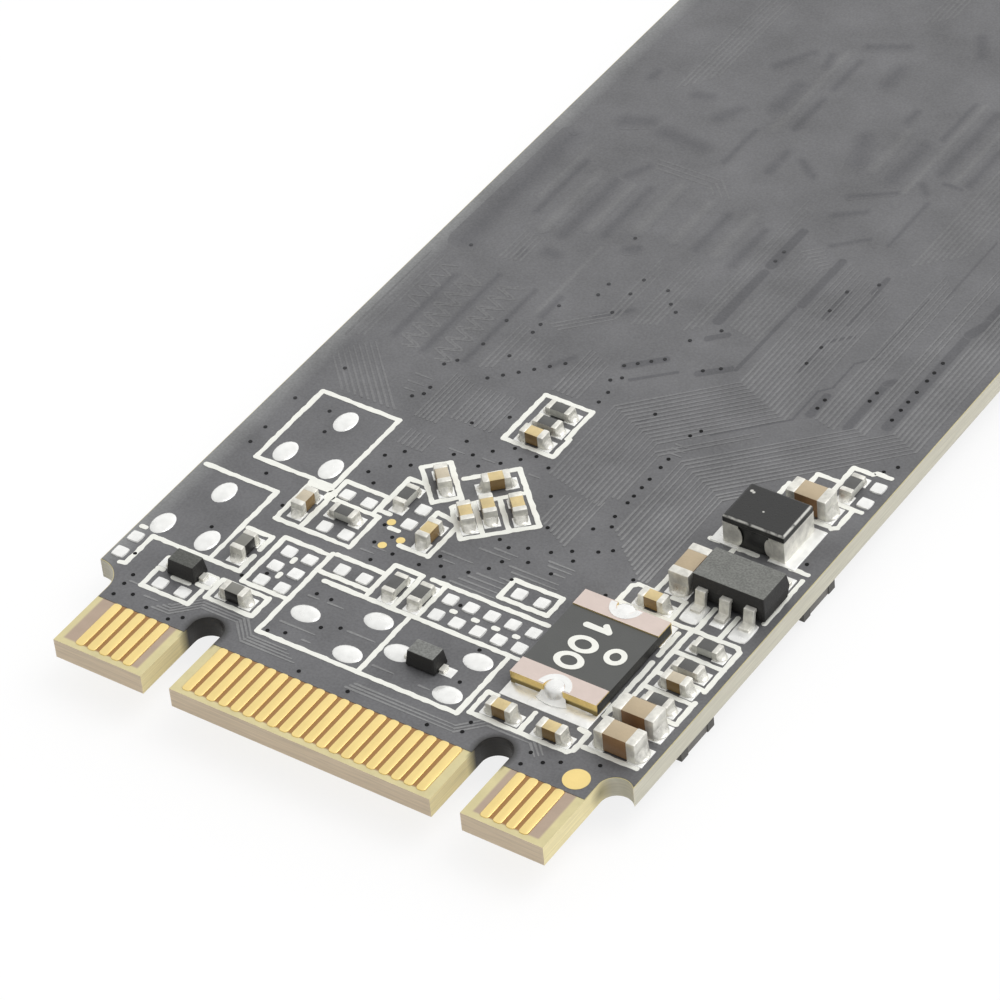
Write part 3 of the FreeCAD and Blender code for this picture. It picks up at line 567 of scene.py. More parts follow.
def mottle_group():
    """Two colours in soft patches, with a fine grain for roughness and bump."""
    name = "Mottle"
    if name in bpy.data.node_groups:
        return bpy.data.node_groups[name]
    tree, given, made = new_group(name, (
        ("Light", "NodeSocketColor", (0.8, 0.8, 0.8, 1.0)),
        ("Dark", "NodeSocketColor", (0.6, 0.6, 0.6, 1.0)),
        ("Patch Scale", "NodeSocketFloat", 1.0),
        ("Grain Scale", "NodeSocketFloat", 12.0),
        ("Speckle", "NodeSocketFloat", 0.25),
        ("Smooth Roughness", "NodeSocketFloat", 0.35),
        ("Rough Roughness", "NodeSocketFloat", 0.55),
    ), (
        ("Color", "NodeSocketColor"),
        ("Roughness", "NodeSocketFloat"),
        ("Grain", "NodeSocketFloat"),
    ))
    place = millimetres(tree)
    patches = noise(tree, place, given.outputs["Patch Scale"], PATCH_DETAIL)
    grain = noise(tree, place, given.outputs["Grain Scale"], GRAIN_DETAIL)
    speckled = add_node(tree, "ShaderNodeMix", {"Factor": given.outputs["Speckle"], "A": patches, "B": grain})
    spread = ramp(tree, speckled.outputs["Result"], *PATCH_SPREAD)
    rough = ramp(tree, grain, 0.0, 1.0, given.outputs["Smooth Roughness"], given.outputs["Rough Roughness"])
    colour = blend_colours(tree, spread, given.outputs["Light"], given.outputs["Dark"])
    set_inputs(tree, made, {"Color": colour, "Roughness": rough, "Grain": grain})
    return tree


def facing_group():
    """Masks that are one on level upper faces and on faces to the right."""
    name = "Facing"
    if name in bpy.data.node_groups:
        return bpy.data.node_groups[name]
    tree, _, made = new_group(name, (), (("Up", "NodeSocketFloat"), ("Right", "NodeSocketFloat")))
    coordinates = tree.nodes.new("ShaderNodeTexCoord")
    parts = add_node(tree, "ShaderNodeSeparateXYZ", {0: coordinates.outputs["Normal"]}).outputs
    set_inputs(tree, made, {"Up": ramp(tree, parts["Z"], *FACING_SPREAD),
                            "Right": ramp(tree, parts["X"], *FACING_SPREAD)})
    return tree


def use_group(tree, group, **values):
    """Place a node group in a material with its own values."""
    node = tree.nodes.new("ShaderNodeGroup")
    node.node_tree = group
    set_inputs(tree, node, {label.replace("_", " "): value for label, value in values.items()})
    return node


def darker(colour, share):
    """Colour scaled towards black, with full alpha."""
    return (*(part * share for part in colour), 1.0)


def new_material(name):
    """Material with nodes, its tree and its shader."""
    material = bpy.data.materials.new(name)
    material.use_nodes = True
    return material, material.node_tree, material.node_tree.nodes["Principled BSDF"]


def add_bump(tree, shader, height, depth):
    """Fine relief on a shader, its depth in millimetres."""
    relief = add_node(tree, "ShaderNodeBump", {"Height": height, "Strength": 1.0, "Distance": depth * MM})
    set_inputs(tree, shader, {"Normal": relief.outputs["Normal"]})


def base_colour(material):
    """Node tree of a finish, its colour input and the colour joined to it so far."""
    tree = material.node_tree
    base = tree.nodes["Principled BSDF"].inputs["Base Color"]
    return tree, base, base.links[0].from_socket


def finish(name, colour, roughness=(0.35, 0.55), contrast=0.82, patch=1.0, grain=12.0, bump=0.0, metallic=0.0,
           specular=0.5, side=None, speckle=0.25):
    """Procedural material: patches of colour, uneven gloss and a fine bump, with sides of another colour,
    which is painted shade on the ceramic chips, beads, moulded packages and fuse body.
    """
    label = f"{name}_finish"
    if label in bpy.data.materials:
        return bpy.data.materials[label]
    material, tree, shader = new_material(label)
    mottle = use_group(tree, mottle_group(), Light=darker(colour, 1.0), Dark=darker(colour, contrast),
                       Patch_Scale=patch, Grain_Scale=grain, Smooth_Roughness=roughness[0],
                       Rough_Roughness=roughness[1], Speckle=speckle)
    shown = mottle.outputs["Color"]
    # Faces that don't point up take the side colour: painted shade for most finishes.
    if side:
        facing = use_group(tree, facing_group())
        flank = use_group(tree, mottle_group(), Light=darker(side, 1.0), Dark=darker(side, SIDE_CONTRAST),
                          Patch_Scale=patch, Grain_Scale=grain)
        shown = blend_colours(tree, facing.outputs["Up"], flank.outputs["Color"], shown)
    set_inputs(tree, shader, {"Base Color": shown, "Roughness": mottle.outputs["Roughness"],
                              "Metallic": metallic, "Specular IOR Level": specular})
    if bump:
        add_bump(tree, shader, mottle.outputs["Grain"], bump)
    return material


# Layout of the upper face, read in millimetres from the card edge and the centre line.
MASK_NEAR = 2.47
PLANE_NEAR = 0.26
PLANES = ((-9.68, -6.55), (-4.62, 5.1), (7.05, 9.6))
ROW_SPLIT = 0.5
NOTCHES = (-5.625, 6.125)
NOTCH_WIDTH, NOTCH_DEPTH = 1.2, 3.5
# Painted shadow on the wall by the inner corner of the right shoulder's relief: its centre, then reach and
# softness in millimetres.
RELIEF_CORNER, RELIEF_SHADOW = (9.98, 3.3, -0.4), (0.3, 0.3)
# Painted shade on the mask round the end of each key notch: reach and softness in millimetres.
NOTCH_END_SHADE = (0.74, 0.14)
RIM_REACH, RIM_FADE = 0.35, 0.45
MASK_LOOK = {"roughness": (0.36, 0.5), "contrast": 0.6, "patch": 0.45, "grain": 11.0, "bump": 0.003,
             "specular": 0.45, "speckle": 0.45}
# Softness of crisp edges, and of the change from the tongues' cut edge to the board's.
CRISP, TONGUE_FADE = 0.04, 0.2
# Painted shade on the walls of the key notches: how far past them it goes aside, forward and back, and its
# softness.
NOTCH_SHADE_ASIDE, NOTCH_SHADE_FORWARD, NOTCH_SHADE_BACK, NOTCH_SHADE_FADE = 0.08, 0.1, 0.5, 0.25
# Share of the lit side colour left in the painted shadow by the relief.
HOLLOW_SHADE = 0.3
# Layers along the cut edge: shares of its colour, stretch by axes, scale, detail, and depth of the bump.
LAYER_SHADES = (0.68, 1.1)
LAYER_STRETCH, LAYER_SCALE, LAYER_DETAIL, LAYER_DEPTH = (0.35, 0.35, 9.0), 1.6, 3.0, 0.006

TRACE_PITCH = 0.2
# Traces and vias show less and less away from the front right corner: how far back, how softly, how slanted.
CLEAR_BACK, FAINT_BACK, TRACE_FADE = 12.0, 24.0, 4.0
VIA_BACK, VIA_FADE = 23.0, 6.0
FADE_SLANT = 0.78
FLAT_BACK, FAR_RELIEF = 22.0, 0.35
PAST_BOARD = 2 * (BOARD_HIGH.y - BOARD_LOW.y) / MM
# Heights of lanes and strips and of vias, in heights of a trace, and unevenness of the printed lines.
STRIP_RELIEF, VIA_RELIEF = 1 / 16, 2
PRINT_RAGGEDNESS = 0.1
# Bundles of parallel traces: the first one's path, how many there are, their pitch to its right, and how much
# later each one starts and sooner it ends along its own run than the one before.
TRACE_BUNDLES = (
    (((0.1, 15.2), (0.1, 19.3), (3.3, 22.5), (3.3, 30.0)), 13, TRACE_PITCH, -0.05, 0.1),
    (((1.2, 13.0), (1.2, 14.45)), 8, TRACE_PITCH, -0.1, -0.05),
    (((2.7, 15.2), (2.7, 17.9), (5.3, 20.5)), 2, TRACE_PITCH, 0.0, 0.0),
    (((3.75, 13.8), (3.75, 17.9), (8.15, 22.3), (8.15, 33.0)), 3, TRACE_PITCH, -0.15, 0.3),
    (((4.4, 13.2), (4.4, 17.63), (9.45, 22.68), (9.45, 60.0)), 7, 0.19, -0.15, 0.4),
    (((5.75, 12.1), (5.75, 17.0), (6.4, 17.65)), 3, 0.16, 0.0, 0.0),
    (((6.65, 22.1), (6.65, 31.0)), 5, TRACE_PITCH, -0.05, 0.2),
    (((-7.95, 2.92), (-7.25, 2.92), (-6.42, 3.72), (-4.95, 3.72), (-4.3, 3.04), (-2.1, 3.04)),
     4, -0.13, 0.15, 0.2),
    (((0.1, 2.95), (4.45, 2.95), (5.25, 3.74), (6.95, 3.74), (7.4, 3.3)), 3, -0.14, 0.1, 0.0),
    (((-5.8, 15.5), (-5.8, 18.1)), 6, 0.17, 0.0, 0.05),
    (((-4.6, 16.0), (-4.6, 17.9)), 9, TRACE_PITCH, 0.0, 0.0),
    (((-5.5, 14.0), (-5.5, 14.8)), 6, TRACE_PITCH, 0.0, 0.0),
    (((-2.3, 19.0), (-2.3, 21.5)), 6, TRACE_PITCH, 0.0, 0.1),
    (((-1.85, 23.4), (-1.85, 27.6)), 5, TRACE_PITCH, 0.1, 0.15),
    (((-8.9, 15.4), (-10.5, 17.0)), 9, TRACE_PITCH, -0.2, 0.0),
    (((-10.6, 18.0), (-10.6, 23.4)), 4, TRACE_PITCH, 0.1, 0.0),
    (((-4.4, 22.0), (-2.9, 23.5), (-2.9, 27.0)), 3, TRACE_PITCH, 0.1, 0.3),
    (((-5.3, 18.8), (-5.3, 21.6)), 3, TRACE_PITCH, 0.1, 0.1),
    (((-4.6, 19.6), (-4.6, 21.0)), 6, TRACE_PITCH, 0.1, 0.0),
    (((0.0, 24.0), (0.0, 32.5)), 3, TRACE_PITCH, 0.2, 0.4),
    (((1.35, 25.0), (1.35, 29.8), (1.9, 30.35)), 7, TRACE_PITCH, -0.05, 0.0),
    (((-8.0, 36.0), (-8.0, 46.0), (-6.5, 47.5), (-6.5, 70.0)), 6, TRACE_PITCH, 0.3, 0.2),
    (((-1.8, 44.0), (-1.8, 48.0), (-2.9, 49.1), (-2.9, 72.0)), 5, TRACE_PITCH, 0.2, 0.3),
    (((5.3, 31.0), (5.3, 52.0), (3.9, 53.4), (3.9, 74.0)), 8, TRACE_PITCH, 0.2, 0.3),
    (((-1.5, 58.0), (-1.5, 70.0), (-0.4, 71.1), (-0.4, 75.5)), 6, TRACE_PITCH, 0.2, 0.0),
    (((-8.2, 24.3), (-8.2, 26.0)), 5, TRACE_PITCH, 0.05, 0.0),
    (((-6.2, 32.0), (-3.4, 32.0), (-2.6, 31.2)), 3, 0.25, 0.1, 0.2),
)
# Short level runs of single traces: place back, and both ends across.
TRACE_DASHES = (
    (10.8, 0.15, 1.35), (10.55, 1.55, 3.5), (10.32, 1.8, 3.6), (10.05, -0.9, 0.35), (9.7, 0.8, 1.9),
    (9.45, 0.6, 2.0), (9.2, 0.4, 2.0), (8.95, 0.2, 2.0), (11.4, 2.6, 3.6), (11.2, 2.7, 3.6),
    (10.95, 3.1, 3.5), (11.05, 0.6, 1.5), (9.9, 2.0, 1.6), (18.6, 3.1, 3.5), (18.35, 3.1, 3.6),
    (18.1, 3.1, 3.6), (17.4, -7.1, -6.4), (16.95, -7.1, -6.5), (16.55, -7.0, -6.6), (14.6, -3.7, -3.1),
    (14.72, -2.4, -1.9), (14.8, -0.5, -0.1), (9.1, -3.1, -2.6), (8.8, -3.4, -2.9), (9.72, -0.6, -0.2),
    (6.0, -3.6, -3.2), (6.02, -2.8, -2.2), (5.2, -1.4, -0.3), (4.5, -3.7, -2.3), (4.1, -2.5, -2.2),
    (4.25, 0.3, 1.1), (4.2, 2.2, 2.6), (3.25, -8.5, -8.0), (3.6, -9.4, -9.0),
)
# Traces folded to a length: across, first and last place back.
MEANDERS = (
    (-8.45, 18.5, 23.0), (-8.2, 18.5, 23.0), (-6.95, 18.4, 23.3), (-6.7, 18.4, 23.3), (-9.5, 20.4, 23.2),
)
MEANDER_PERIOD, MEANDER_REACH, MEANDER_POINTS = 0.66, 0.34, 8

# Lanes with no copper, and strips of copper that show paler: path and width.
LANES = (
    (((0.8, 25.0), (0.8, 28.1)), 0.5), (((0.8, 28.6), (0.8, 30.8)), 0.5),
    (((2.8, 23.0), (2.85, 27.2)), 0.2), (((2.95, 27.2), (2.95, 30.0)), 0.42),
    (((4.05, 27.0), (4.05, 28.6)), 0.35), (((4.9, 29.0), (4.9, 29.9)), 0.3),
    (((9.05, 22.9), (9.05, 28.6), (9.3, 29.4), (9.3, 30.6)), 0.5),
    (((7.85, 22.2), (7.85, 24.9), (8.0, 25.1)), 0.4), (((6.35, 22.2), (6.35, 23.3)), 0.4),
    (((4.8, 24.1), (4.8, 25.6)), 0.36), (((4.85, 25.9), (5.5, 26.55)), 0.2),
    (((3.9, 19.6), (5.95, 21.65), (5.95, 23.4), (6.3, 23.8), (6.3, 25.3), (6.8, 25.9), (6.8, 29.6)), 0.11),
    (((5.0, 27.0), (5.0, 29.0)), 0.1), (((-0.2, 20.75), (1.05, 21.9)), 0.18),
    (((-0.75, 21.3), (0.3, 22.3)), 0.4), (((1.75, 22.2), (2.6, 22.95)), 0.4),
    (((1.0, 24.0), (1.5, 24.5)), 0.35), (((1.3, 19.05), (1.5, 19.3)), 0.25),
)
FAINT_LANES = (
    (((-6.85, 26.5), (-6.85, 30.1)), 0.6), (((-6.7, 30.6), (-6.3, 31.4)), 0.5),
    (((-8.5, 27.2), (-8.5, 30.6)), 0.35), (((-5.5, 27.2), (-5.5, 30.3)), 0.5),
    (((-2.1, 28.1), (-2.1, 30.3)), 0.5), (((-0.45, 27.9), (-0.45, 30.2)), 0.45),
    (((-4.9, 22.2), (-4.9, 23.4)), 0.35), (((-6.8, 25.4), (-6.4, 25.4)), 0.6),
    (((-7.6, 24.8), (-7.6, 25.1)), 0.4), (((-4.3, 26.9), (-4.0, 27.1)), 0.5),
    (((-3.1, 20.0), (-2.65, 20.8)), 0.35), (((-3.2, 23.1), (-2.3, 24.0)), 0.4),
    (((-9.85, 24.6), (-9.85, 31.6)), 1.0), (((-9.05, 18.9), (-9.05, 22.6)), 0.35),
    (((-7.6, 18.6), (-7.6, 23.4)), 0.35), (((-5.95, 18.8), (-5.95, 23.3)), 0.3),
    (((2.1, 30.6), (3.15, 31.6)), 0.25), (((3.2, 35.3), (3.6, 34.9)), 0.4),
    (((3.95, 34.4), (3.95, 31.6)), 0.24), (((-8.6, 33.4), (-7.8, 33.8)), 0.8),
    (((-6.9, 33.5), (-5.2, 33.4)), 0.9), (((-3.95, 33.0), (-3.95, 35.2)), 0.35),
    (((-4.0, 36.8), (-4.0, 38.3)), 0.8), (((-5.4, 39.0), (-4.6, 40.4)), 0.5),
    (((-3.9, 40.6), (-3.7, 39.9)), 0.4), (((-2.7, 36.0), (-2.7, 38.0)), 0.42),
    (((-2.7, 38.8), (-2.7, 40.7)), 0.4), (((0.45, 35.3), (-0.1, 36.8)), 0.9),
    (((2.1, 35.0), (2.1, 37.3)), 0.75), (((2.5, 38.0), (2.5, 40.4)), 0.3),
    (((3.5, 36.2), (3.5, 40.2)), 0.55), (((4.75, 36.0), (4.75, 38.3)), 0.45),
    (((3.9, 35.7), (4.6, 35.7)), 0.25), (((-1.1, 40.0), (-1.1, 41.0)), 0.8),
    (((0.8, 38.3), (0.8, 39.0)), 0.45), (((-2.2, 33.3), (-2.2, 34.6)), 0.5),
    (((-0.6, 33.8), (-1.4, 34.4)), 0.45), (((1.3, 32.2), (2.2, 32.9)), 0.4),
    (((-2.9, 41.7), (-1.6, 42.4)), 0.5), (((0.6, 44.2), (1.2, 43.2)), 0.6),
    (((7.3, 30.0), (7.3, 33.6)), 0.12), (((-7.1, 36.0), (-6.6, 36.2)), 0.6),
    (((-5.6, 35.2), (-5.2, 36.0)), 0.7), (((-9.2, 36.2), (-9.2, 36.6)), 0.5),
    (((1.2, 33.4), (2.6, 34.4)), 0.3), (((-8.6, 48.0), (-8.6, 58.0)), 0.5),
    (((-5.6, 52.0), (-5.6, 61.0)), 0.4), (((0.6, 54.0), (0.6, 66.0)), 0.5),
    (((7.2, 50.0), (7.2, 64.0)), 0.45), (((2.6, 60.0), (2.6, 70.0), (1.6, 71.0)), 0.35),
    (((9.0, 38.0), (9.0, 47.0)), 0.4), (((-9.6, 62.0), (-9.6, 74.0)), 0.6),
    (((8.6, 68.0), (8.6, 76.0)), 0.5),
)
COPPER_STRIPS = (
    (((-3.4, 35.6), (-3.4, 40.9)), 0.45), (((2.85, 34.6), (2.85, 40.5)), 0.3),
    (((1.15, 35.2), (1.15, 37.8)), 0.45), (((-7.7, 26.5), (-7.7, 30.2)), 0.5),
    (((-4.6, 28.0), (-4.6, 31.0)), 0.6), (((-1.3, 28.2), (-1.3, 30.8)), 0.5),
    (((-8.9, 28.0), (-8.9, 31.5)), 0.25), (((-3.1, 28.2), (-3.1, 30.6)), 0.5),
    (((-6.2, 27.2), (-6.2, 30.2)), 0.35), (((4.2, 36.0), (4.2, 39.5)), 0.3),
    (((-5.2, 22.4), (-5.2, 26.5)), 0.25),
)

# Filled vias in columns: place across, and places back.
VIA_COLUMNS = (
    (-10.1, (4.8, 11.5, 12.4, 14.2)), (-9.5, (2.8, 3.4, 3.9, 16.4, 24.4)), (-8.9, (3.1,)),
    (-8.6, (7.2, 10.4, 14.2)), (-8.1, (2.8, 13.2)), (-7.1, (2.7, 9.3)), (-6.7, (3.0,)),
    (-6.5, (16.3, 18.3)), (-6.2, (5.7, 16.6, 17.0, 18.7)), (-5.9, (19.9, 21.4)), (-5.5, (6.2, 12.2, 13.2)),
    (-5.0, (11.8, 12.8, 13.7)), (-4.7, (19.8, 21.3, 21.8, 23.0)), (-4.4, (13.2, 27.6)),
    (-3.8, (3.9, 16.1, 24.2, 24.9)), (-3.4, (6.2, 10.2, 14.4, 15.2)), (-3.2, (4.1, 9.3)),
    (-2.8, (6.2, 8.5, 9.8, 14.7, 17.0, 23.6, 24.8, 25.7)), (-2.3, (4.9, 9.1, 14.3, 15.2)),
    (-1.7, (2.8, 5.2, 14.8, 15.7, 25.6)), (-1.2, (9.1, 15.3, 25.0)), (-0.8, (9.8, 15.7, 20.4, 24.7)),
    (-0.5, (9.4, 19.2, 19.8, 20.7)), (-0.1, (9.0, 15.4)), (0.3, (2.8,)), (0.5, (9.6, 11.5, 23.6)),
    (0.8, (14.2, 28.9, 29.5)), (1.0, (10.1, 11.3)), (1.2, (8.1, 10.6, 24.6)), (1.6, (11.6, 12.8, 19.6)),
    (2.0, (10.0, 11.0)), (2.4, (11.8,)), (3.0, (6.6, 10.9, 12.2, 13.5)),
    (3.3, (5.0, 11.8, 14.4, 15.2, 15.6, 16.1, 16.6, 17.3, 17.8, 19.2)), (3.5, (2.8, 13.9, 19.6)),
    (3.8, (12.6,)), (4.0, (27.4, 28.6)), (4.2, (12.9,)), (4.7, (3.1, 3.6)), (4.8, (24.5, 25.5, 29.5)),
    (5.2, (10.9,)), (5.6, (12.0,)), (6.4, (22.6, 23.1)), (7.2, (2.8, 3.4)), (7.8, (3.2, 23.8, 24.3)),
    (8.3, (3.5,)), (9.0, (23.3, 23.9, 24.4, 25.0, 25.7, 26.2, 26.8)), (9.5, (4.0,)), (10.3, (15.5,)),
)
# Filled vias in slanting rows: first place, step to the next one, and how many.
VIA_ROWS = (
    ((-4.7, 18.4), (0.4, 0.4), 6), ((-0.8, 21.3), (0.36, 0.33), 4), ((1.8, 22.4), (0.5, 0.4), 2),
    ((10.15, 20.8), (0.3, 0.45), 2),
)

# Printed lines: each path's points.
PRINT_LINES = (
    ((-10.75, 9.78), (-7.68, 9.78), (-7.68, 5.85)), ((-10.1, 5.82), (-6.4, 5.82)),
    ((-10.1, 5.82), (-10.1, 4.25), (-10.3, 4.2)), ((-10.75, 6.05), (-10.6, 6.05)),
    ((-9.45, 10.95), (-6.12, 10.95), (-6.12, 14.98), (-9.45, 14.98), (-9.45, 10.95)),
    ((-6.93, 10.85), (-6.93, 8.65), (-3.82, 8.65)), ((-5.87, 11.4), (-5.87, 8.65)),
    ((-5.9, 8.7), (-5.9, 10.8)), ((-5.87, 11.42), (-4.08, 11.42), (-4.08, 10.5)),
    ((-5.87, 10.42), (-3.8, 10.42), (-3.8, 8.65)), ((-7.45, 7.78), (-6.42, 7.78), (-6.42, 7.05)),
    ((-6.42, 6.7), (-6.42, 5.85)), ((-8.95, 4.45), (-8.95, 3.62), (-6.95, 3.62), (-6.95, 4.4)),
    ((-8.95, 5.2), (-8.95, 4.6), (-8.75, 4.6)), ((-8.2, 4.47), (-7.55, 4.47)),
    ((-7.25, 5.15), (-6.85, 5.15), (-6.85, 4.6), (-7.25, 4.6)),
    ((-6.63, 5.2), (-4.68, 5.2), (-4.68, 4.2), (-6.63, 4.2), (-6.63, 5.2)), ((-6.03, 8.0), (-4.1, 8.0)),
    ((-6.03, 8.0), (-6.03, 5.48), (-4.1, 5.48)), ((-5.08, 7.25), (-5.08, 7.1)),
    ((-5.08, 6.4), (-5.08, 6.25)), ((-4.1, 8.1), (-4.1, 3.72), (4.05, 3.72), (4.05, 6.75)),
    ((0.03, 3.72), (0.03, 6.8)), ((-3.55, 6.85), (4.35, 6.85)), ((-3.95, 8.15), (-1.9, 8.15)),
    ((-3.95, 7.18), (-1.9, 7.18)), ((-1.88, 8.68), (-1.88, 6.85)), ((-1.88, 8.68), (-0.75, 8.68)),
    ((-0.75, 8.68), (-0.75, 6.85)), ((-0.35, 8.7), (4.35, 8.7)), ((0.23, 8.6), (0.23, 6.95)),
    ((1.12, 7.73), (1.22, 7.73)), ((2.0, 7.73), (2.12, 7.73)), ((2.82, 7.73), (2.95, 7.73)),
    ((3.66, 7.73), (3.76, 7.73)), ((2.1, 10.05), (4.05, 10.05), (4.05, 9.08), (2.1, 9.08), (2.1, 10.05)),
    ((4.38, 5.05), (4.38, 3.98), (8.2, 3.98), (8.36, 4.15), (8.36, 5.0)), ((6.3, 3.98), (6.3, 5.0)),
    ((4.38, 5.08), (4.75, 5.08)), ((8.0, 5.1), (8.36, 5.05)), ((8.55, 4.45), (10.6, 4.45)),
    ((8.67, 10.9), (8.67, 7.35)), ((5.7, 10.87), (10.45, 10.87), (10.62, 10.7), (10.62, 8.55)),
    ((10.62, 7.95), (10.62, 6.8), (10.05, 6.8)), ((8.7, 9.72), (10.62, 9.72)), ((8.7, 8.6), (10.62, 8.6)),
    ((8.7, 7.85), (10.62, 7.85)), ((8.35, 10.5), (8.35, 9.3)), ((8.35, 8.9), (8.35, 6.0)),
    ((5.72, 10.87), (5.72, 11.75), (5.87, 11.9), (6.45, 11.9)), ((7.75, 10.95), (7.75, 11.85)),
    ((7.25, 11.9), (7.75, 11.9)), ((8.78, 11.0), (8.78, 12.1)), ((9.68, 11.0), (9.68, 12.1)),
    ((6.55, 12.0), (6.55, 12.75)), ((10.6, 12.3), (10.6, 14.7)), ((7.75, 14.6), (7.75, 14.9)),
    ((6.75, 15.05), (7.1, 15.05)), ((7.8, 15.05), (8.6, 15.05)), ((9.95, 15.05), (10.6, 15.05)),
    ((7.6, 18.15), (7.6, 18.75)), ((9.6, 18.62), (10.55, 18.62)),
    ((10.25, 18.55), (10.25, 17.55), (10.1, 17.42)), ((9.4, 17.48), (9.95, 17.48)),
    ((9.14, 19.2), (9.14, 20.5), (9.9, 20.5), (10.0, 20.62), (10.55, 20.62)),
    ((8.23, 19.1), (8.23, 19.62), (9.1, 19.62)),
    ((-2.36, 15.95), (-2.36, 18.62), (-0.38, 18.62), (-0.38, 17.0)),
    ((-2.36, 15.95), (-0.28, 15.95), (-0.28, 17.0)), ((-4.02, 12.6), (-4.02, 10.72), (-3.55, 10.72)),
    ((-3.15, 10.15), (-2.8, 10.15)), ((-2.35, 9.57), (-1.15, 9.57), (-1.15, 11.5)),
    ((-4.02, 12.6), (-3.3, 12.6)), ((-1.2, 11.5), (-2.15, 11.6), (-2.15, 10.7)),
    ((-3.25, 14.0), (-4.0, 13.28), (-2.6, 11.93)), ((-3.25, 14.0), (-1.75, 12.5)),
    ((-2.55, 12.0), (-1.95, 12.6)),
    ((-2.35, 13.5), (-0.95, 14.88), (1.32, 12.72), (-0.68, 10.85), (-1.88, 12.05)),
    ((-1.85, 12.12), (-0.03, 13.93)), ((-1.34, 12.61), (-0.1, 11.38)), ((-0.7, 13.25), (0.55, 12.0)),
)
PRINT_PATCHES = (((-6.85, 10.8), (-6.2, 10.8)), ((-5.92, 10.45), (-5.92, 10.6)))
PATCH_WIDTH = 0.42

# Marks on the fuse: a plain rating of one upright figure and two rings, and a plain ring beside it.
FUSE_MARKS_ACROSS = 6.18
FUSE_MARK_STEP = 0.87
FUSE_FIGURE_HEIGHT, FUSE_FIGURE_SHAPE = 1.12, 0.72
FUSE_STROKE, FUSE_FLAG = 0.25, 0.22
FUSE_RING_ACROSS, FUSE_RING = 7.45, (0.2, 0.4)
# Foil on the fuse's ends: share of its height that carries painted shade, share of the brass left there, and
# how metallic its edge and its top are.
FOIL_SHADOW, FOIL_DARK, FOIL_METAL = 0.42, 0.25, (0.85, 0.1)
FUSE_NOTCH, FUSE_COLLAR = 0.38, 0.62
# Solder at the fuse's ends, in millimetres and in shares of the foil's height: a low skirt along the whole
# end, a flared tongue before the notch, and a steep bead in the notch.
FUSE_SKIRT_REACH, FUSE_SKIRT_RISE = 0.3, 0.07
FUSE_TONGUE_WIDTH, FUSE_TONGUE_REACH = 2.2 * FUSE_NOTCH, 0.42
FUSE_TONGUE_SHARE, FUSE_TONGUE_PINCH = 0.8, -0.5
FUSE_BEAD, FUSE_BEAD_INSET = 0.98, 0.26
FUSE_BEAD_SHARE, FUSE_BEAD_FULLNESS = 1.03, 0.18
REGULATOR_PAD = (0.74, 1.05)
INDUCTOR_SPREAD = (0.45, 0.14)
# Bulges of the inductor's terminals: reach in millimetres, and half height as a share of a terminal's height.
BULGE_REACH, BULGE_SHARE = 0.16, 0.4
# Painted highlight along the upper edges of the inductor's cover: reach and softness in millimetres, the
# softness also serving the scuffs, then scale, detail, level and softness of the noise that breaks the
# highlight up.
EDGE_HIGHLIGHT_REACH, EDGE_AND_SCUFF_SOFT = 0.07, 0.02
EDGE_HIGHLIGHT_SCALE, EDGE_HIGHLIGHT_DETAIL, EDGE_HIGHLIGHT_LEVEL, EDGE_HIGHLIGHT_BREAK = 3.0, 2.0, 0.42, 0.08
# Scuffs on the inductor's cover: shares of its width and depth, and reach in millimetres.
SCUFFS = ((0.11, 0.79, 0.06), (0.15, 0.77, 0.05), (0.48, 0.41, 0.035))
PALE_CAPACITORS = ("capacitor_c1", "capacitor_c3", "capacitor_c10")
# Height from which a capacitor counts as a larger one, in heights of the first one.
LARGE_CAPACITOR = 1.2
CONTACT_RIM = 0.6
# Solder up the ends of chips: tuck, reach and greatest rise in millimetres, and rise as a share of the cap.
TUCK = 0.02
FILLET_REACH, FILLET_RISE, FILLET_SHARE = 0.26, 0.42, 0.6


def contact_rows():
    """Ends, in millimetres, of each row of contacts on the upper face."""
    contacts = islands("upper_edge_contacts")
    spans = sorted((min(c.x for c in contact), max(c.x for c in contact)) for contact in contacts)
    rows = []
    for low, high in spans:
        if rows and low / MM - rows[-1][1] < ROW_SPLIT:
            rows[-1][1] = high / MM
        else:
            rows.append([low / MM, high / MM])
    return rows


def any_window(tree, socket, spans, soft):
    """Mask of several bands of one coordinate."""
    return largest(tree, [window(tree, socket, low, high, soft) for low, high in spans])


def near_spots(tree, place, spots, reach, soft):
    """Mask of soft-edged balls round points of the frame."""
    balls = []
    for centre in spots:
        away = add_node(tree, "ShaderNodeVectorMath", {0: place, 1: centre / MM}, operation="DISTANCE")
        balls.append(window(tree, away.outputs["Value"], -BEYOND, reach, soft))
    return largest(tree, balls)


def mask_tone(tree, tint):
    """Speckled colour of solder mask of one tint."""
    tone = use_group(tree, mottle_group(), Light=darker(tint, 1.0), Dark=darker(tint, MASK_LOOK["contrast"]),
                     Patch_Scale=MASK_LOOK["patch"], Grain_Scale=MASK_LOOK["grain"],
                     Speckle=MASK_LOOK["speckle"])
    return tone.outputs["Color"]


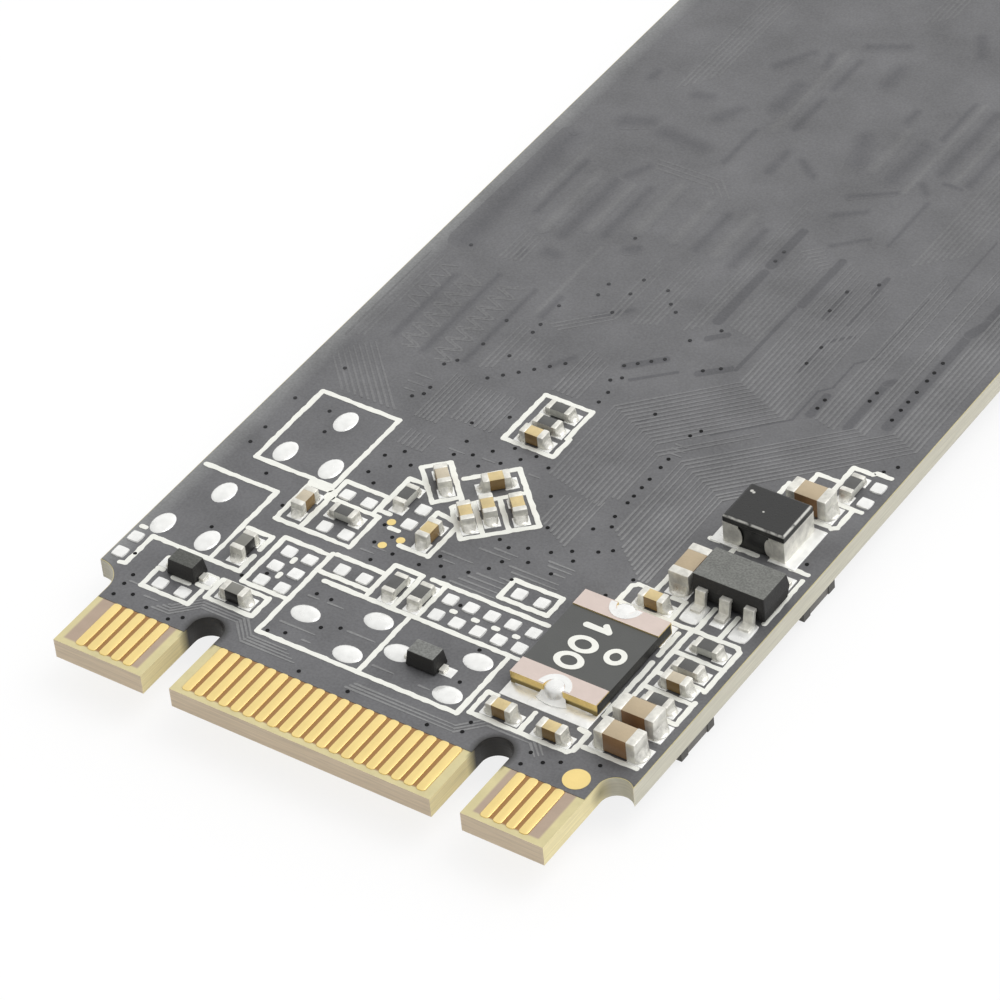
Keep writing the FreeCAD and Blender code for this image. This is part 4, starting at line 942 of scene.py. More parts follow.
def mask_finish(name, colours, tint=None):
    """Solder mask, paler along the left edge and with painted shade round the ends of the notches; a tinted
    patch fades into it.
    """
    material = finish(name, colours.mask, **MASK_LOOK)
    tree, base, plain = base_colour(material)
    if tint:
        middle = add_node(tree, "ShaderNodeAttribute", {}, attribute_name=MIDDLE)
        whole = blend_colours(tree, middle.outputs["Fac"], plain, mask_tone(tree, tint))
    else:
        place, parts = axes(tree)
        left = BOARD_LOW.x / MM
        rim = window(tree, parts["X"], left - BEYOND, left + RIM_REACH, RIM_FADE)
        whole = blend_colours(tree, rim, plain, mask_tone(tree, colours.mask_rim))
        # Painted shade: the mask turns to the notch colour round the end of each notch.
        ends = [spot(centre, NOTCH_DEPTH - NOTCH_WIDTH / 2) for centre in NOTCHES]
        notch_end_shade = near_spots(tree, place, ends, *NOTCH_END_SHADE)
        whole = blend_colours(tree, notch_end_shade, whole, darker(colours.notch, 1.0))
    tree.links.new(whole, base)
    return material


def over_tongues(tree, parts, spans, near, far, soft=CRISP):
    """Mask of bands across the board, between two places back from the card edge."""
    edge = BOARD_LOW.y / MM
    return combine(tree, "MULTIPLY", any_window(tree, parts["X"], spans, CRISP),
                   window(tree, parts["Y"], edge + near, edge + far, soft))


def laminate_face(tree, colours, parts):
    """Colour and gloss of the laminate's faces: the copper plane differs, and the laminate between contacts
    carries painted shade and gold reflection.
    """
    face = use_group(tree, mottle_group(), Light=darker(colours.laminate, 1.0),
                     Dark=darker(colours.laminate, 0.88), Patch_Scale=1.4, Grain_Scale=9.0,
                     Smooth_Roughness=0.38, Rough_Roughness=0.55)
    pink = use_group(tree, mottle_group(), Light=darker(colours.laminate_pink, 1.0),
                     Dark=darker(colours.laminate_pink, 0.9), Patch_Scale=2.0)
    plane = over_tongues(tree, parts, PLANES, PLANE_NEAR, MASK_NEAR + BEYOND)
    # Painted shade and gold reflection on the laminate between the contacts.
    gap_shade = over_tongues(tree, parts, contact_rows(), PLANE_NEAR, MASK_NEAR)
    top = blend_colours(tree, plane, face.outputs["Color"], pink.outputs["Color"])
    top = blend_colours(tree, gap_shade, top, darker(colours.contact_gap_shade, 1.0))
    return top, face.outputs["Roughness"]


def laminate_cut(tree, colours, place, back, layers, lit_right_faces):
    """Colour of the cut edge: layered, yellower on the tongues, with a paler copy on faces turned to the
    right as painted light, and with painted shadow in one recess.
    """
    edge = BOARD_LOW.y / MM
    tongue = window(tree, back, edge - BEYOND, edge + NOTCH_DEPTH, TONGUE_FADE)
    shades = []
    for share in LAYER_SHADES:
        # Faces turned to the right take the paler colour: painted light.
        turned = blend_colours(tree, lit_right_faces, darker(colours.laminate_edge, share),
                               darker(colours.laminate_lit_side, share))
        shades.append(blend_colours(tree, tongue, darker(colours.board_edge, share), turned))
    cut = blend_colours(tree, layers, *shades)
    # Painted shadow on the cut edge by the right shoulder's relief.
    relief_shadow = near_spots(tree, place, (spot(*RELIEF_CORNER),), *RELIEF_SHADOW)
    return blend_colours(tree, relief_shadow, cut, darker(colours.laminate_lit_side, HOLLOW_SHADE))


def board_laminate(colours):
    """Bare laminate: a copper plane shows through on the tongues, layers run along its cut edge."""
    material, tree, shader = new_material("laminate")
    place, parts = axes(tree)
    facing = use_group(tree, facing_group()).outputs
    stretch = add_node(tree, "ShaderNodeMapping", {"Vector": place, "Scale": LAYER_STRETCH})
    layers = noise(tree, stretch.outputs["Vector"], LAYER_SCALE, LAYER_DETAIL)
    top, gloss = laminate_face(tree, colours, parts)
    cut = laminate_cut(tree, colours, place, parts["Y"], layers, facing["Right"])
    half = NOTCH_WIDTH / 2 + NOTCH_SHADE_ASIDE
    walls = [(centre - half, centre + half) for centre in NOTCHES]
    # Painted shade: the walls of the key notches are darkened to the notch colour.
    notch_wall_shade = over_tongues(tree, parts, walls, MASK_NEAR - NOTCH_SHADE_FORWARD, NOTCH_DEPTH + NOTCH_SHADE_BACK, NOTCH_SHADE_FADE)
    whole = blend_colours(tree, facing["Up"], cut, top)
    whole = blend_colours(tree, notch_wall_shade, whole, darker(colours.notch, 1.0))
    set_inputs(tree, shader, {"Base Color": whole, "Roughness": gloss, "Specular IOR Level": 0.35})
    add_bump(tree, shader, layers, LAYER_DEPTH)
    return material


def solder_finish(colours):
    """Bright solder, a little uneven."""
    return finish("solder", colours.solder, roughness=(0.14, 0.34), contrast=0.86, patch=3.0, grain=4.0,
                  bump=0.014, metallic=0.3)


def terminal_finish(colours):
    """Tinned end caps and leads."""
    return finish("tinned", colours.terminal, roughness=(0.28, 0.5), contrast=0.66, patch=3.0, grain=9.0,
                  bump=0.006, metallic=0.5)


def mask_sheet(sizes, upward):
    """Mask on one face: the board's own outline, cut back from the contacts and drawn in from the edge."""
    bm = bmesh.new()
    bm.from_mesh(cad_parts["circuit_board"].data)
    bmesh.ops.remove_doubles(bm, verts=bm.verts, dist=MERGE)
    others = [face for face in bm.faces if face.normal.z * upward < LEVEL]
    bmesh.ops.delete(bm, geom=others, context="FACES")
    bmesh.ops.dissolve_limit(bm, angle_limit=math.radians(1.0), verts=bm.verts[:], edges=bm.edges[:])
    bmesh.ops.inset_region(bm, faces=bm.faces[:], thickness=sizes.mask_margin, use_even_offset=True,
                           use_boundary=True)
    rim = [face for face in bm.faces if any(edge.is_boundary for edge in face.edges)]
    bmesh.ops.delete(bm, geom=rim, context="FACES")
    cut_off(bm, spot(0, MASK_NEAR), (0, 1, 0))
    raise_faces(bm, upward * sizes.mask_thickness)
    return bm


class DRIVE_OT_board(bpy.types.Operator):
    """Laminate with solder mask on both faces"""
    bl_idname = "drive.board"
    bl_label = "Board"

    def execute(self, context):
        sizes, colours = context.scene.drive_sizes, context.scene.drive_colours
        paint("circuit_board", board_laminate(colours))
        mask = mask_finish("solder_mask", colours)
        new_piece("upper_solder_mask", mask_sheet(sizes, 1), mask)
        new_piece("lower_solder_mask", mask_sheet(sizes, -1), mask)
        return {"FINISHED"}


def fade_distance(tree):
    """Distance in millimetres along the board, less towards its right side."""
    along = add_node(tree, "ShaderNodeVectorMath", {0: millimetres(tree), 1: (-FADE_SLANT, 1.0, 0.0)},
                     operation="DOT_PRODUCT")
    return along.outputs["Value"]


def via_places():
    """Places of all the vias, across and back in millimetres."""
    places = [(across, back) for across, column in VIA_COLUMNS for back in column]
    for first, step, count in VIA_ROWS:
        places += [(first[0] + number * step[0], first[1] + number * step[1]) for number in range(count)]
    return places


def fading(material, bands):
    """Blend tones into a finish in bands across the board: tone, nearest and furthest place, softness."""
    tree, base, whole = base_colour(material)
    distance = fade_distance(tree)
    edge = BOARD_LOW.y / MM
    for tint, near, far, soft in bands:
        band = window(tree, distance, edge + near, edge + far, soft)
        whole = blend_colours(tree, band, whole, mask_tone(tree, tint))
    tree.links.new(whole, base)
    return material


def trace_finish(colours):
    """Solder mask over the traces, paler by the card edge and fainter further back."""
    return fading(finish("masked_trace", colours.trace, **MASK_LOOK), (
        (colours.near_trace, -PAST_BOARD, CLEAR_BACK, TRACE_FADE),
        (colours.strip, FAINT_BACK, PAST_BOARD, TRACE_FADE),
    ))


def via_finish(colours):
    """Filled vias, open and dark by the card edge and masked over further back."""
    bare = finish("via_fill", colours.via, roughness=(0.6, 0.8), patch=4.0, specular=0.2)
    return fading(bare, ((colours.far_via, VIA_BACK, PAST_BOARD, VIA_FADE),))


def bundled_traces():
    """Paths of the traces that run side by side."""
    paths = []
    for path, count, pitch, start_step, end_step in TRACE_BUNDLES:
        for number in range(count):
            points = beside(path, number * pitch)
            first = (points[1] - points[0]).normalized()
            last = (points[-1] - points[-2]).normalized()
            points[0] = points[0] + first * start_step * number
            points[-1] = points[-1] - last * end_step * number
            paths.append(points)
    return paths


def folded_traces():
    """Paths of the traces that swing from side to side."""
    paths = []
    for across, near, far in MEANDERS:
        count = round((far - near) / MEANDER_PERIOD * MEANDER_POINTS)
        turns = [2 * math.pi * number / MEANDER_POINTS for number in range(count)]
        paths.append([Vector((across + MEANDER_REACH * math.sin(turn),
                              near + MEANDER_PERIOD * turn / (2 * math.pi))) for turn in turns])
    return paths


def trace_relief(points):
    """Share of the full height that a trace stands up, less where all of it lies further back."""
    nearest = min(point.y - FADE_SLANT * point.x for point in points)
    return FAR_RELIEF if nearest > FLAT_BACK else 1.0


class DRIVE_OT_traces(bpy.types.Operator):
    """Traces, bare lanes and vias under the upper mask"""
    bl_idname = "drive.traces"
    bl_label = "Traces and vias"

    def execute(self, context):
        sizes, colours = context.scene.drive_sizes, context.scene.drive_colours
        top = sizes.mask_thickness
        # Piece, places, tint, and the shares of a strip's width that it spreads to and fades over.
        strips = (("bare_lanes", LANES, colours.lane, 1.0, 0.12),
                  ("faint_lanes", FAINT_LANES, colours.far_lane, 1.4, 0.55),
                  ("copper_strips", COPPER_STRIPS, colours.strip, 1.3, 0.5))
        for layer, (name, places, tint, spread, fade) in enumerate(strips):
            bm = bmesh.new()
            for number, (path, width) in enumerate(places):
                turn = len(strips) * (number % STRIP_TURNS) + layer
                height = stacked(sizes.trace_height * STRIP_RELIEF, SEGMENT_LEVELS * turn)
                part = bmesh.new()
                polyline(part, path, spread * width * MM, height, top)
                fade_edges(part, fade * width * MM)
                add_mesh(bm, part)
            new_piece(name, bm, mask_finish(name, colours, tint))

        dashes = [[Vector((start, back)), Vector((end, back))] for back, start, end in TRACE_DASHES]
        ribs = bmesh.new()
        for number, points in enumerate(bundled_traces() + folded_traces() + dashes):
            height = stacked(sizes.trace_height * trace_relief(points), PATH_STEPS * (number % LINE_TURNS))
            polyline(ribs, points, sizes.trace_width, height, top, around=6)
        new_piece("masked_traces", ribs, trace_finish(colours))

        dots = bmesh.new()
        for place in via_places():
            centre = spot(*place) + Vector((0, 0, top))
            disc(dots, centre, sizes.via_width / 2, sizes.trace_height * VIA_RELIEF)
        new_piece("filled_vias", dots, via_finish(colours))
        return {"FINISHED"}


class DRIVE_OT_print(bpy.types.Operator):
    """Printed outlines on the upper mask"""
    bl_idname = "drive.printed_lines"
    bl_label = "Printed lines"

    def execute(self, context):
        sizes, colours = context.scene.drive_sizes, context.scene.drive_colours
        draw = random.Random(SEED)
        bm = bmesh.new()
        for number, path in enumerate(PRINT_LINES):
            height = stacked(sizes.print_height, PATH_STEPS * (number % LINE_TURNS))
            polyline(bm, path, sizes.print_width, height, sizes.mask_thickness, draw=draw,
                     raggedness=PRINT_RAGGEDNESS)
        for path in PRINT_PATCHES:
            polyline(bm, path, PATCH_WIDTH * MM, sizes.print_height, sizes.mask_thickness)
        ink = finish("print_ink", colours.print_white, roughness=(0.45, 0.65), contrast=0.93, patch=3.0,
                     grain=16.0, bump=0.006)
        new_piece("printed_lines", bm, ink)
        return {"FINISHED"}


def plated_contact(bm, block, outward, rounding):
    """Contact with round corners and a rounded rim on its outer face."""
    part = sized_cube(block.size)
    upright = [edge for edge in part.edges if edge.verts[0].co.z * edge.verts[1].co.z < 0]
    bmesh.ops.bevel(part, geom=upright, offset=rounding, segments=4, profile=0.5, affect="EDGES", material=-1)
    rim = [edge for edge in part.edges if all(vert.co.z * outward > 0 for vert in edge.verts)]
    bmesh.ops.bevel(part, geom=rim, offset=block.size.z * CONTACT_RIM, segments=2, profile=0.5,
                    affect="EDGES", material=-1)
    add_placed(bm, part, Matrix.Translation(block.centre))


class DRIVE_OT_contacts(bpy.types.Operator):
    """Gold contacts, test dots and the plated screw notch"""
    bl_idname = "drive.contacts"
    bl_label = "Contacts"

    def execute(self, context):
        sizes, colours = context.scene.drive_sizes, context.scene.drive_colours
        gold = finish("gold", colours.gold, roughness=(0.26, 0.36), contrast=0.93, patch=1.6, grain=6.0,
                      bump=0.002, metallic=0.9)
        for node, outward in (("upper_edge_contacts", 1), ("lower_edge_contacts", -1)):
            bm = bmesh.new()
            for block in blocks_of(node):
                plated_contact(bm, block, outward, sizes.contact_rounding)
            new_piece(f"{node}_plated", bm, gold, (node,))
        paint("gold_test_dots", gold)
        paint("screw_notch_plating", gold)
        return {"FINISHED"}


class DRIVE_OT_pads(bpy.types.Operator):
    """Solder on bare pads and under the parts"""
    bl_idname = "drive.pads"
    bl_label = "Solder pads"

    def execute(self, context):
        sizes, colours = context.scene.drive_sizes, context.scene.drive_colours
        solder = solder_finish(colours)
        draw = random.Random(SEED)
        ovals = bmesh.new()
        for block in blocks_of("oval_solder_pads"):
            dome(ovals, block.foot, (block.size.x, block.size.y, sizes.dome_height))
        new_piece("oval_solder_beads", ovals, solder, ("oval_solder_pads",))
        squares = bmesh.new()
        for block in blocks_of("square_solder_pads"):
            pillow(squares, block, sizes.dome_height, draw)
        new_piece("square_solder_beads", squares, solder, ("square_solder_pads",))
        for node in ("component_solder_pads", "lower_solder_pads"):
            bm = bmesh.new()
            for block in blocks_of(node):
                rounded_block(bm, block, block.size.z * ROUNDING_LIMIT)
            new_piece(f"{node}_wetted", bm, solder, (node,))
        for node in ("controller_solder_lands", "flash_solder_lands"):
            paint(node, solder)
        return {"FINISHED"}


def end_caps(node, sizes, material, pads, fillets):
    """Rounded end caps in place of a node's, each with solder drawn up its outer face."""
    bm = bmesh.new()
    tuck = TUCK * MM
    aligned = 0.7
    for block in blocks_of(node):
        rounded_block(bm, block, sizes.chip_rounding)
        near = min(pads, key=lambda pad: (pad.centre - block.centre).xy.length)
        outward = (near.centre - block.centre).xy.normalized()
        axis_x = block.rotation.to_3x3() @ Vector((1, 0, 0))
        length, width = block.size.xy if abs(axis_x.xy.dot(outward)) > aligned else block.size.yx
        level = near.high if near.high <= block.low + tuck else block.low
        foot = block.centre + (outward * (length / 2 - tuck)).to_3d()
        foot.z = level - tuck
        rise = min(FILLET_SHARE * block.size.z, FILLET_RISE * MM)
        fillet(fillets, foot, outward, width, FILLET_REACH * MM, rise)
    new_piece(f"{node}_plated", bm, material, (node,))


def two_ended(nodes, sizes, materials):
    """Rounded middles of two-ended chips, each its own piece; a second material goes on their sides."""
    upward = 0.6
    for node in nodes:
        bm = bmesh.new()
        rounded_block(bm, block_of(node), sizes.chip_rounding / 2)
        if len(materials) > 1:
            for face in bm.faces:
                face.material_index = 0 if face.normal.z > upward else 1
        new_piece(f"{node}_body", bm, materials, (node,))


def nodes_named(prefix):
    """Nodes of the frame whose names start alike and end in a number."""
    return sorted(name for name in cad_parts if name.startswith(prefix) and name[-1].isdigit())


class DRIVE_OT_chips(bpy.types.Operator):
    """Capacitors, resistors and beads of the upper face, with their end caps and solder"""
    bl_idname = "drive.chips"
    bl_label = "Chips"

    def execute(self, context):
        sizes, colours = context.scene.drive_sizes, context.scene.drive_colours
        fired = {"roughness": (0.3, 0.5), "grain": 16.0}
        tan = finish("tan_ceramic", colours.ceramic_tan, contrast=0.9, patch=2.0, bump=0.004,
                     side=colours.tan_shaded_side, **fired)
        yellow = finish("yellow_ceramic", colours.ceramic_yellow, contrast=0.8, patch=2.5, bump=0.004,
                        side=colours.ceramic_shaded_side, **fired)
        pale = finish("pale_ceramic", colours.ceramic_pale, contrast=0.8, patch=2.5, bump=0.004,
                      side=colours.ceramic_shaded_side, **fired)
        film = finish("resistor_film", colours.film, contrast=0.8, patch=3.0, **fired)
        alumina = finish("alumina", colours.alumina, roughness=(0.5, 0.7), contrast=0.85, patch=3.0,
                         grain=16.0)
        ferrite = finish("ferrite", colours.ferrite, roughness=(0.28, 0.45), contrast=0.85, patch=2.0,
                         grain=14.0, side=colours.resin_side_and_shade)
        terminal = terminal_finish(colours)
        large = block_of("capacitor_c1").size.z * LARGE_CAPACITOR
        for node in nodes_named("capacitor_c"):
            ceramic = tan if block_of(node).size.z > large else yellow
            two_ended((node,), sizes, (pale if node in PALE_CAPACITORS else ceramic,))
        two_ended(nodes_named("resistor_r"), sizes, (film, alumina))
        two_ended(nodes_named("ferrite_bead_fb"), sizes, (ferrite,))
        pads = blocks_of("component_solder_pads")
        fillets = bmesh.new()
        for node in ("capacitor_end_caps", "resistor_end_caps", "bead_end_caps"):
            end_caps(node, sizes, terminal, pads, fillets)
        drawn = finish("drawn_solder", colours.terminal, roughness=(0.2, 0.4), contrast=0.6, patch=5.0,
                       grain=9.0, bump=0.014, metallic=0.5)
        new_piece("solder_fillets", fillets, drawn, smooth_angle=SOLDER_ANGLE)
        return {"FINISHED"}


def inductor_cover(colours):
    """Dark cover of the wound inductor, with a painted highlight along its front and right upper edges and
    pale scuffs on its top.
    """
    material = finish("inductor_cover", colours.inductor, roughness=(0.22, 0.4), contrast=0.85, patch=2.0,
                      grain=14.0, bump=0.006)
    tree, base, plain = base_colour(material)
    low, high = (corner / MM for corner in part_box("inductor_l1"))
    place, parts = axes(tree)
    # Painted highlight: the front and right upper edges turn pale, broken up by noise.
    front = window(tree, parts["Y"], low.y - BEYOND, low.y + EDGE_HIGHLIGHT_REACH, EDGE_AND_SCUFF_SOFT)
    right = window(tree, parts["X"], high.x - EDGE_HIGHLIGHT_REACH, high.x + BEYOND, EDGE_AND_SCUFF_SOFT)
    top = window(tree, parts["Z"], high.z - EDGE_HIGHLIGHT_REACH, high.z + BEYOND, EDGE_AND_SCUFF_SOFT)
    rim = combine(tree, "MULTIPLY", combine(tree, "MAXIMUM", front, right), top)
    patches = window(tree, noise(tree, place, EDGE_HIGHLIGHT_SCALE, EDGE_HIGHLIGHT_DETAIL), EDGE_HIGHLIGHT_LEVEL, 1.0, EDGE_HIGHLIGHT_BREAK)
    highlight_and_scuffs = [combine(tree, "MULTIPLY", rim, patches)]
    for share_across, share_back, reach in SCUFFS:
        across = low.x + share_across * (high.x - low.x)
        back = low.y + share_back * (high.y - low.y)
        centre = Vector((across, back, high.z)) * MM
        highlight_and_scuffs.append(near_spots(tree, place, (centre,), reach, EDGE_AND_SCUFF_SOFT))
    tree.links.new(blend_colours(tree, largest(tree, highlight_and_scuffs), plain, darker(colours.edge_highlight_and_scuffs, 1.0)), base)
    return material


def terminal_bulges(node, sizes):
    """Rounded inner outlines of an inductor's terminals, on its front and back faces."""
    bm = bmesh.new()
    low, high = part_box(node)
    middle = (low + high) / 2
    turn = Matrix.Rotation(math.pi / 2, 4, "X")
    for block in blocks_of(node):
        inward = 1 if block.centre.x < middle.x else -1
        edge = block.centre.x + inward * block.size.x / 2
        shape = Matrix.Diagonal((BULGE_REACH * MM, 2 * sizes.print_height, BULGE_SHARE * block.size.z, 1.0))
        for face in (low.y, high.y):
            part = bmesh.new()
            bmesh.ops.create_cone(part, cap_ends=True, segments=24, radius1=1.0, radius2=1.0, depth=1.0)
            centre = Vector((edge, face, block.centre.z))
            add_placed(bm, part, Matrix.Translation(centre) @ shape @ turn)
    return bm


def inductor_solder(node, sizes):
    """Solder spread out from under an inductor's terminals, mostly past its ends."""
    bm = bmesh.new()
    low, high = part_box(node)
    past_end, past_side = (share * MM for share in INDUCTOR_SPREAD)
    thickness = sizes.mask_thickness + sizes.dome_height / 2
    for pad in blocks_of(node):
        outward = 1 if pad.centre.x > (low.x + high.x) / 2 else -1
        pad.size = Vector((pad.size.x + past_end, pad.size.y + 2 * past_side, thickness))
        across = pad.centre.x + outward * past_end / 2
        pad.centre = Vector((across, pad.centre.y, BOARD_HIGH.z + thickness / 2))
        rounded_block(bm, pad, thickness * ROUNDING_LIMIT)
    return bm


def regulator_solder(sizes):
    """Wide solder pads before the outer leads of the regulator's front row."""
    bm = bmesh.new()
    draw = random.Random(SEED)
    middle = block_of("regulator_u1").centre
    for lead in blocks_of("regulator_leads"):
        outer = abs(lead.centre.x - middle.x) > lead.size.x
        if outer and lead.centre.y < middle.y:
            lead.size = Vector((REGULATOR_PAD[0] * MM, REGULATOR_PAD[1] * MM, lead.size.z))
            lead.foot = Vector((lead.centre.x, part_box("regulator_leads")[0].y, BOARD_HIGH.z))
            pillow(bm, lead, sizes.dome_height, draw)
    return bm


class DRIVE_OT_packages(bpy.types.Operator):
    """Diodes, regulator and wound inductor with their leads"""
    bl_idname = "drive.packages"
    bl_label = "Packages"

    def execute(self, context):
        sizes, colours = context.scene.drive_sizes, context.scene.drive_colours
        for node, shown in (("diode_d1", colours.dark_diode_top), ("diode_d2", colours.diode_top),
                            ("regulator_u1", colours.resin_top)):
            resin = finish(node, shown, roughness=(0.5, 0.7), contrast=0.5, patch=3.0, grain=13.0, bump=0.014,
                           side=colours.resin_side_and_shade, speckle=0.75)
            paint(node, resin)
            soften(node, sizes.resin_rounding)
        paint("inductor_l1", inductor_cover(colours))
        soften("inductor_l1", sizes.resin_rounding)
        terminal = terminal_finish(colours)
        for node in ("diode_leads", "regulator_leads", "inductor_terminals"):
            paint(node, terminal)
            soften(node, sizes.lead_rounding)
        solder = solder_finish(colours)
        new_piece("regulator_solder", regulator_solder(sizes), solder)
        spread = inductor_solder("inductor_terminals", sizes)
        new_piece("inductor_solder", spread, solder)
        bulges = terminal_bulges("inductor_terminals", sizes)
        new_piece("inductor_terminal_bulges", bulges, terminal)
        return {"FINISHED"}


def fuse_foil(colours):
    """Pale foil on the fuse's ends, brassy along its upper edge, and darkened with painted shade over the
    lower part of its height.
    """
    material = finish("fuse_foil", colours.foil, roughness=(0.4, 0.6), contrast=0.93, patch=2.0, grain=12.0,
                      bump=0.006, side=colours.brass)
    tree, base, plain = base_colour(material)
    _, parts = axes(tree)
    low, high = (corner.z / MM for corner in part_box("fuse_terminals"))
    # Painted shade over the lower share of the foil's height.
    foil_shade = window(tree, parts["Z"], low - BEYOND, low + FOIL_SHADOW * (high - low), CRISP)
    tree.links.new(blend_colours(tree, foil_shade, plain, darker(colours.brass, FOIL_DARK)), base)
    upward = use_group(tree, facing_group()).outputs["Up"]
    metal = ramp(tree, upward, 0.0, 1.0, *FOIL_METAL)
    set_inputs(tree, tree.nodes["Principled BSDF"], {"Metallic": metal})
    return material


def fuse_marks(sizes):
    """Printed marks on top of the fuse."""
    low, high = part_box("fuse_f1")
    level = high.z - BOARD_HIGH.z
    back = ((low.y + high.y) / 2 - BOARD_LOW.y) / MM
    half = FUSE_FIGURE_HEIGHT / 2
    start = (FUSE_MARKS_ACROSS - half + FUSE_STROKE / 2, back + FUSE_MARK_STEP)
    end = (FUSE_MARKS_ACROSS + half - FUSE_STROKE / 2, back + FUSE_MARK_STEP)
    flag = (end[0] - FUSE_FLAG, end[1] + FUSE_FLAG)
    bm = bmesh.new()
    polyline(bm, (start, end, flag), FUSE_STROKE * MM, sizes.print_height, level)
    for step in (0, -1):
        centre = spot(FUSE_MARKS_ACROSS, back + step * FUSE_MARK_STEP, level / MM)
        ring(bm, centre, (half - FUSE_STROKE) * MM, half * MM, sizes.print_height, around=36,
             stretch=(1.0, FUSE_FIGURE_SHAPE))
    inner, outer = (radius * MM for radius in FUSE_RING)
    ring(bm, spot(FUSE_RING_ACROSS, back, level / MM), inner, outer, sizes.print_height, around=28)
    return bm


def fuse_solder(sizes):
    """Collar, skirt, tongue and bead of solder at each end of the fuse."""
    low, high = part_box("fuse_f1")
    centre = (low + high) / 2
    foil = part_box("fuse_terminals")[1].z
    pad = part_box("component_solder_pads")[1].z
    rise = foil - pad
    bm = bmesh.new()
    for end, inward in ((low.y, 1), (high.y, -1)):
        rim = Vector((centre.x, end, foil))
        half_ring(bm, rim, FUSE_NOTCH * MM, FUSE_COLLAR * MM, sizes.print_height, inward)
        foot = Vector((centre.x, end + inward * TUCK * MM, pad))
        outward = Vector((0, -inward))
        fillet(bm, foot, outward, high.x - low.x, FUSE_SKIRT_REACH * MM, FUSE_SKIRT_RISE * MM)
        fillet(bm, foot, outward, FUSE_TONGUE_WIDTH * MM, FUSE_TONGUE_REACH * MM, FUSE_TONGUE_SHARE * rise,
               pinch=FUSE_TONGUE_PINCH)
        bead = Vector((centre.x, end + inward * FUSE_BEAD_INSET * MM, pad))
        dome(bm, bead, (FUSE_BEAD * MM, FUSE_BEAD * MM, FUSE_BEAD_SHARE * rise), fullness=FUSE_BEAD_FULLNESS)
    return bm


class DRIVE_OT_fuse(bpy.types.Operator):
    """Resettable fuse with its foil, marks and solder"""
    bl_idname = "drive.fuse"
    bl_label = "Fuse"

    def execute(self, context):
        sizes, colours = context.scene.drive_sizes, context.scene.drive_colours
        paint("fuse_f1", finish("fuse_laminate", colours.fuse, roughness=(0.4, 0.6), contrast=0.92, patch=1.5,
                                grain=16.0, bump=0.005, side=colours.resin_side_and_shade))
        paint("fuse_terminals", fuse_foil(colours))
        ink = finish("print_ink", colours.print_white)
        new_piece("fuse_marks", fuse_marks(sizes), ink)
        new_piece("fuse_solder", fuse_solder(sizes), solder_finish(colours),
                  smooth_angle=SOLDER_ANGLE)
        return {"FINISHED"}


class DRIVE_OT_underside(bpy.types.Operator):
    """Controller, flash, crystal, power inductors and chips of the lower face"""
    bl_idname = "drive.underside"
    bl_label = "Lower face"

    def execute(self, context):
        sizes, colours = context.scene.drive_sizes, context.scene.drive_colours
        package = finish("package_resin", colours.package, roughness=(0.42, 0.6), contrast=0.88, patch=0.8,
                         grain=18.0, bump=0.006)
        for node in ("controller_package", "flash_package_1", "flash_package_2"):
            bm = bmesh.new()
            rounded_block(bm, block_of(node), sizes.resin_rounding)
            new_piece(f"{node}_resin", bm, package, (node,))
        lid = finish("crystal_case", colours.crystal, roughness=(0.25, 0.4), contrast=0.9, patch=0.9,
                     grain=12.0, bump=0.004, metallic=0.9)
        paint("crystal", lid)
        resin = finish("power_inductor_resin", colours.power_inductor, roughness=(0.35, 0.5), contrast=0.85,
                       patch=2.0, grain=14.0, bump=0.006)
        two_ended(nodes_named("power_inductor_l"), sizes, (resin,))
        paint("lower_capacitors", finish("tan_ceramic", colours.ceramic_tan))
        paint("lower_capacitor_end_caps", terminal_finish(colours))
        dull = finish("dark_metal", colours.dark_metal, roughness=(0.35, 0.5), contrast=0.8, patch=2.0,
                      grain=12.0, bump=0.006, metallic=0.5)
        paint("power_inductor_end_caps", dull)
        return {"FINISHED"}


# Camera fitted to the photograph: its place in millimetres, where it looks, and which way is up for it.
CAMERA_PLACE = (76.670, -125.563, 111.525)
CAMERA_AIM = (-0.46433, 0.59315, -0.65770)
CAMERA_TOP = (-0.32048, 0.57976, 0.74911)
SENSOR_WIDTH = 36.0
CLIP_NEAR, CLIP_FAR = 0.01, 20.0
# Floor: half its width in metres, its drop under the drive in millimetres, its grey, and its own white.
FLOOR_REACH, FLOOR_DROP = 3.0, 0.01
FLOOR_GREY, FLOOR_WHITE = (0.9, 0.9, 0.9, 1.0), 1.04
# Lamp: its side as seen from the drive, and its distance and size in metres.
LAMP_SIDE = (0.45, 0.35, 1.0)
LAMP_DISTANCE, LAMP_SIZE = 0.5, 0.35


def place_camera(scene, settings):
    """Camera with the photograph's view."""
    data = bpy.data.cameras.new("camera")
    data.sensor_width = SENSOR_WIDTH
    data.lens = settings.lens
    data.clip_start = CLIP_NEAR
    data.clip_end = CLIP_FAR
    camera = bpy.data.objects.new("camera", data)
    forward = Vector(CAMERA_AIM).normalized()
    right = forward.cross(Vector(CAMERA_TOP)).normalized()
    up = right.cross(forward)
    place = Matrix((right, up, -forward)).transposed().to_4x4()
    place.translation = Vector(CAMERA_PLACE) * MM
    camera.matrix_world = place
    scene.collection.objects.link(camera)
    scene.camera = camera


def background_rays(tree):
    """Mask of the rays that show the background: the camera's own, and those off metal and through glass."""
    rays = tree.nodes.new("ShaderNodeLightPath").outputs
    return largest(tree, [rays["Is Camera Ray"], rays["Is Glossy Ray"], rays["Is Transmission Ray"]])


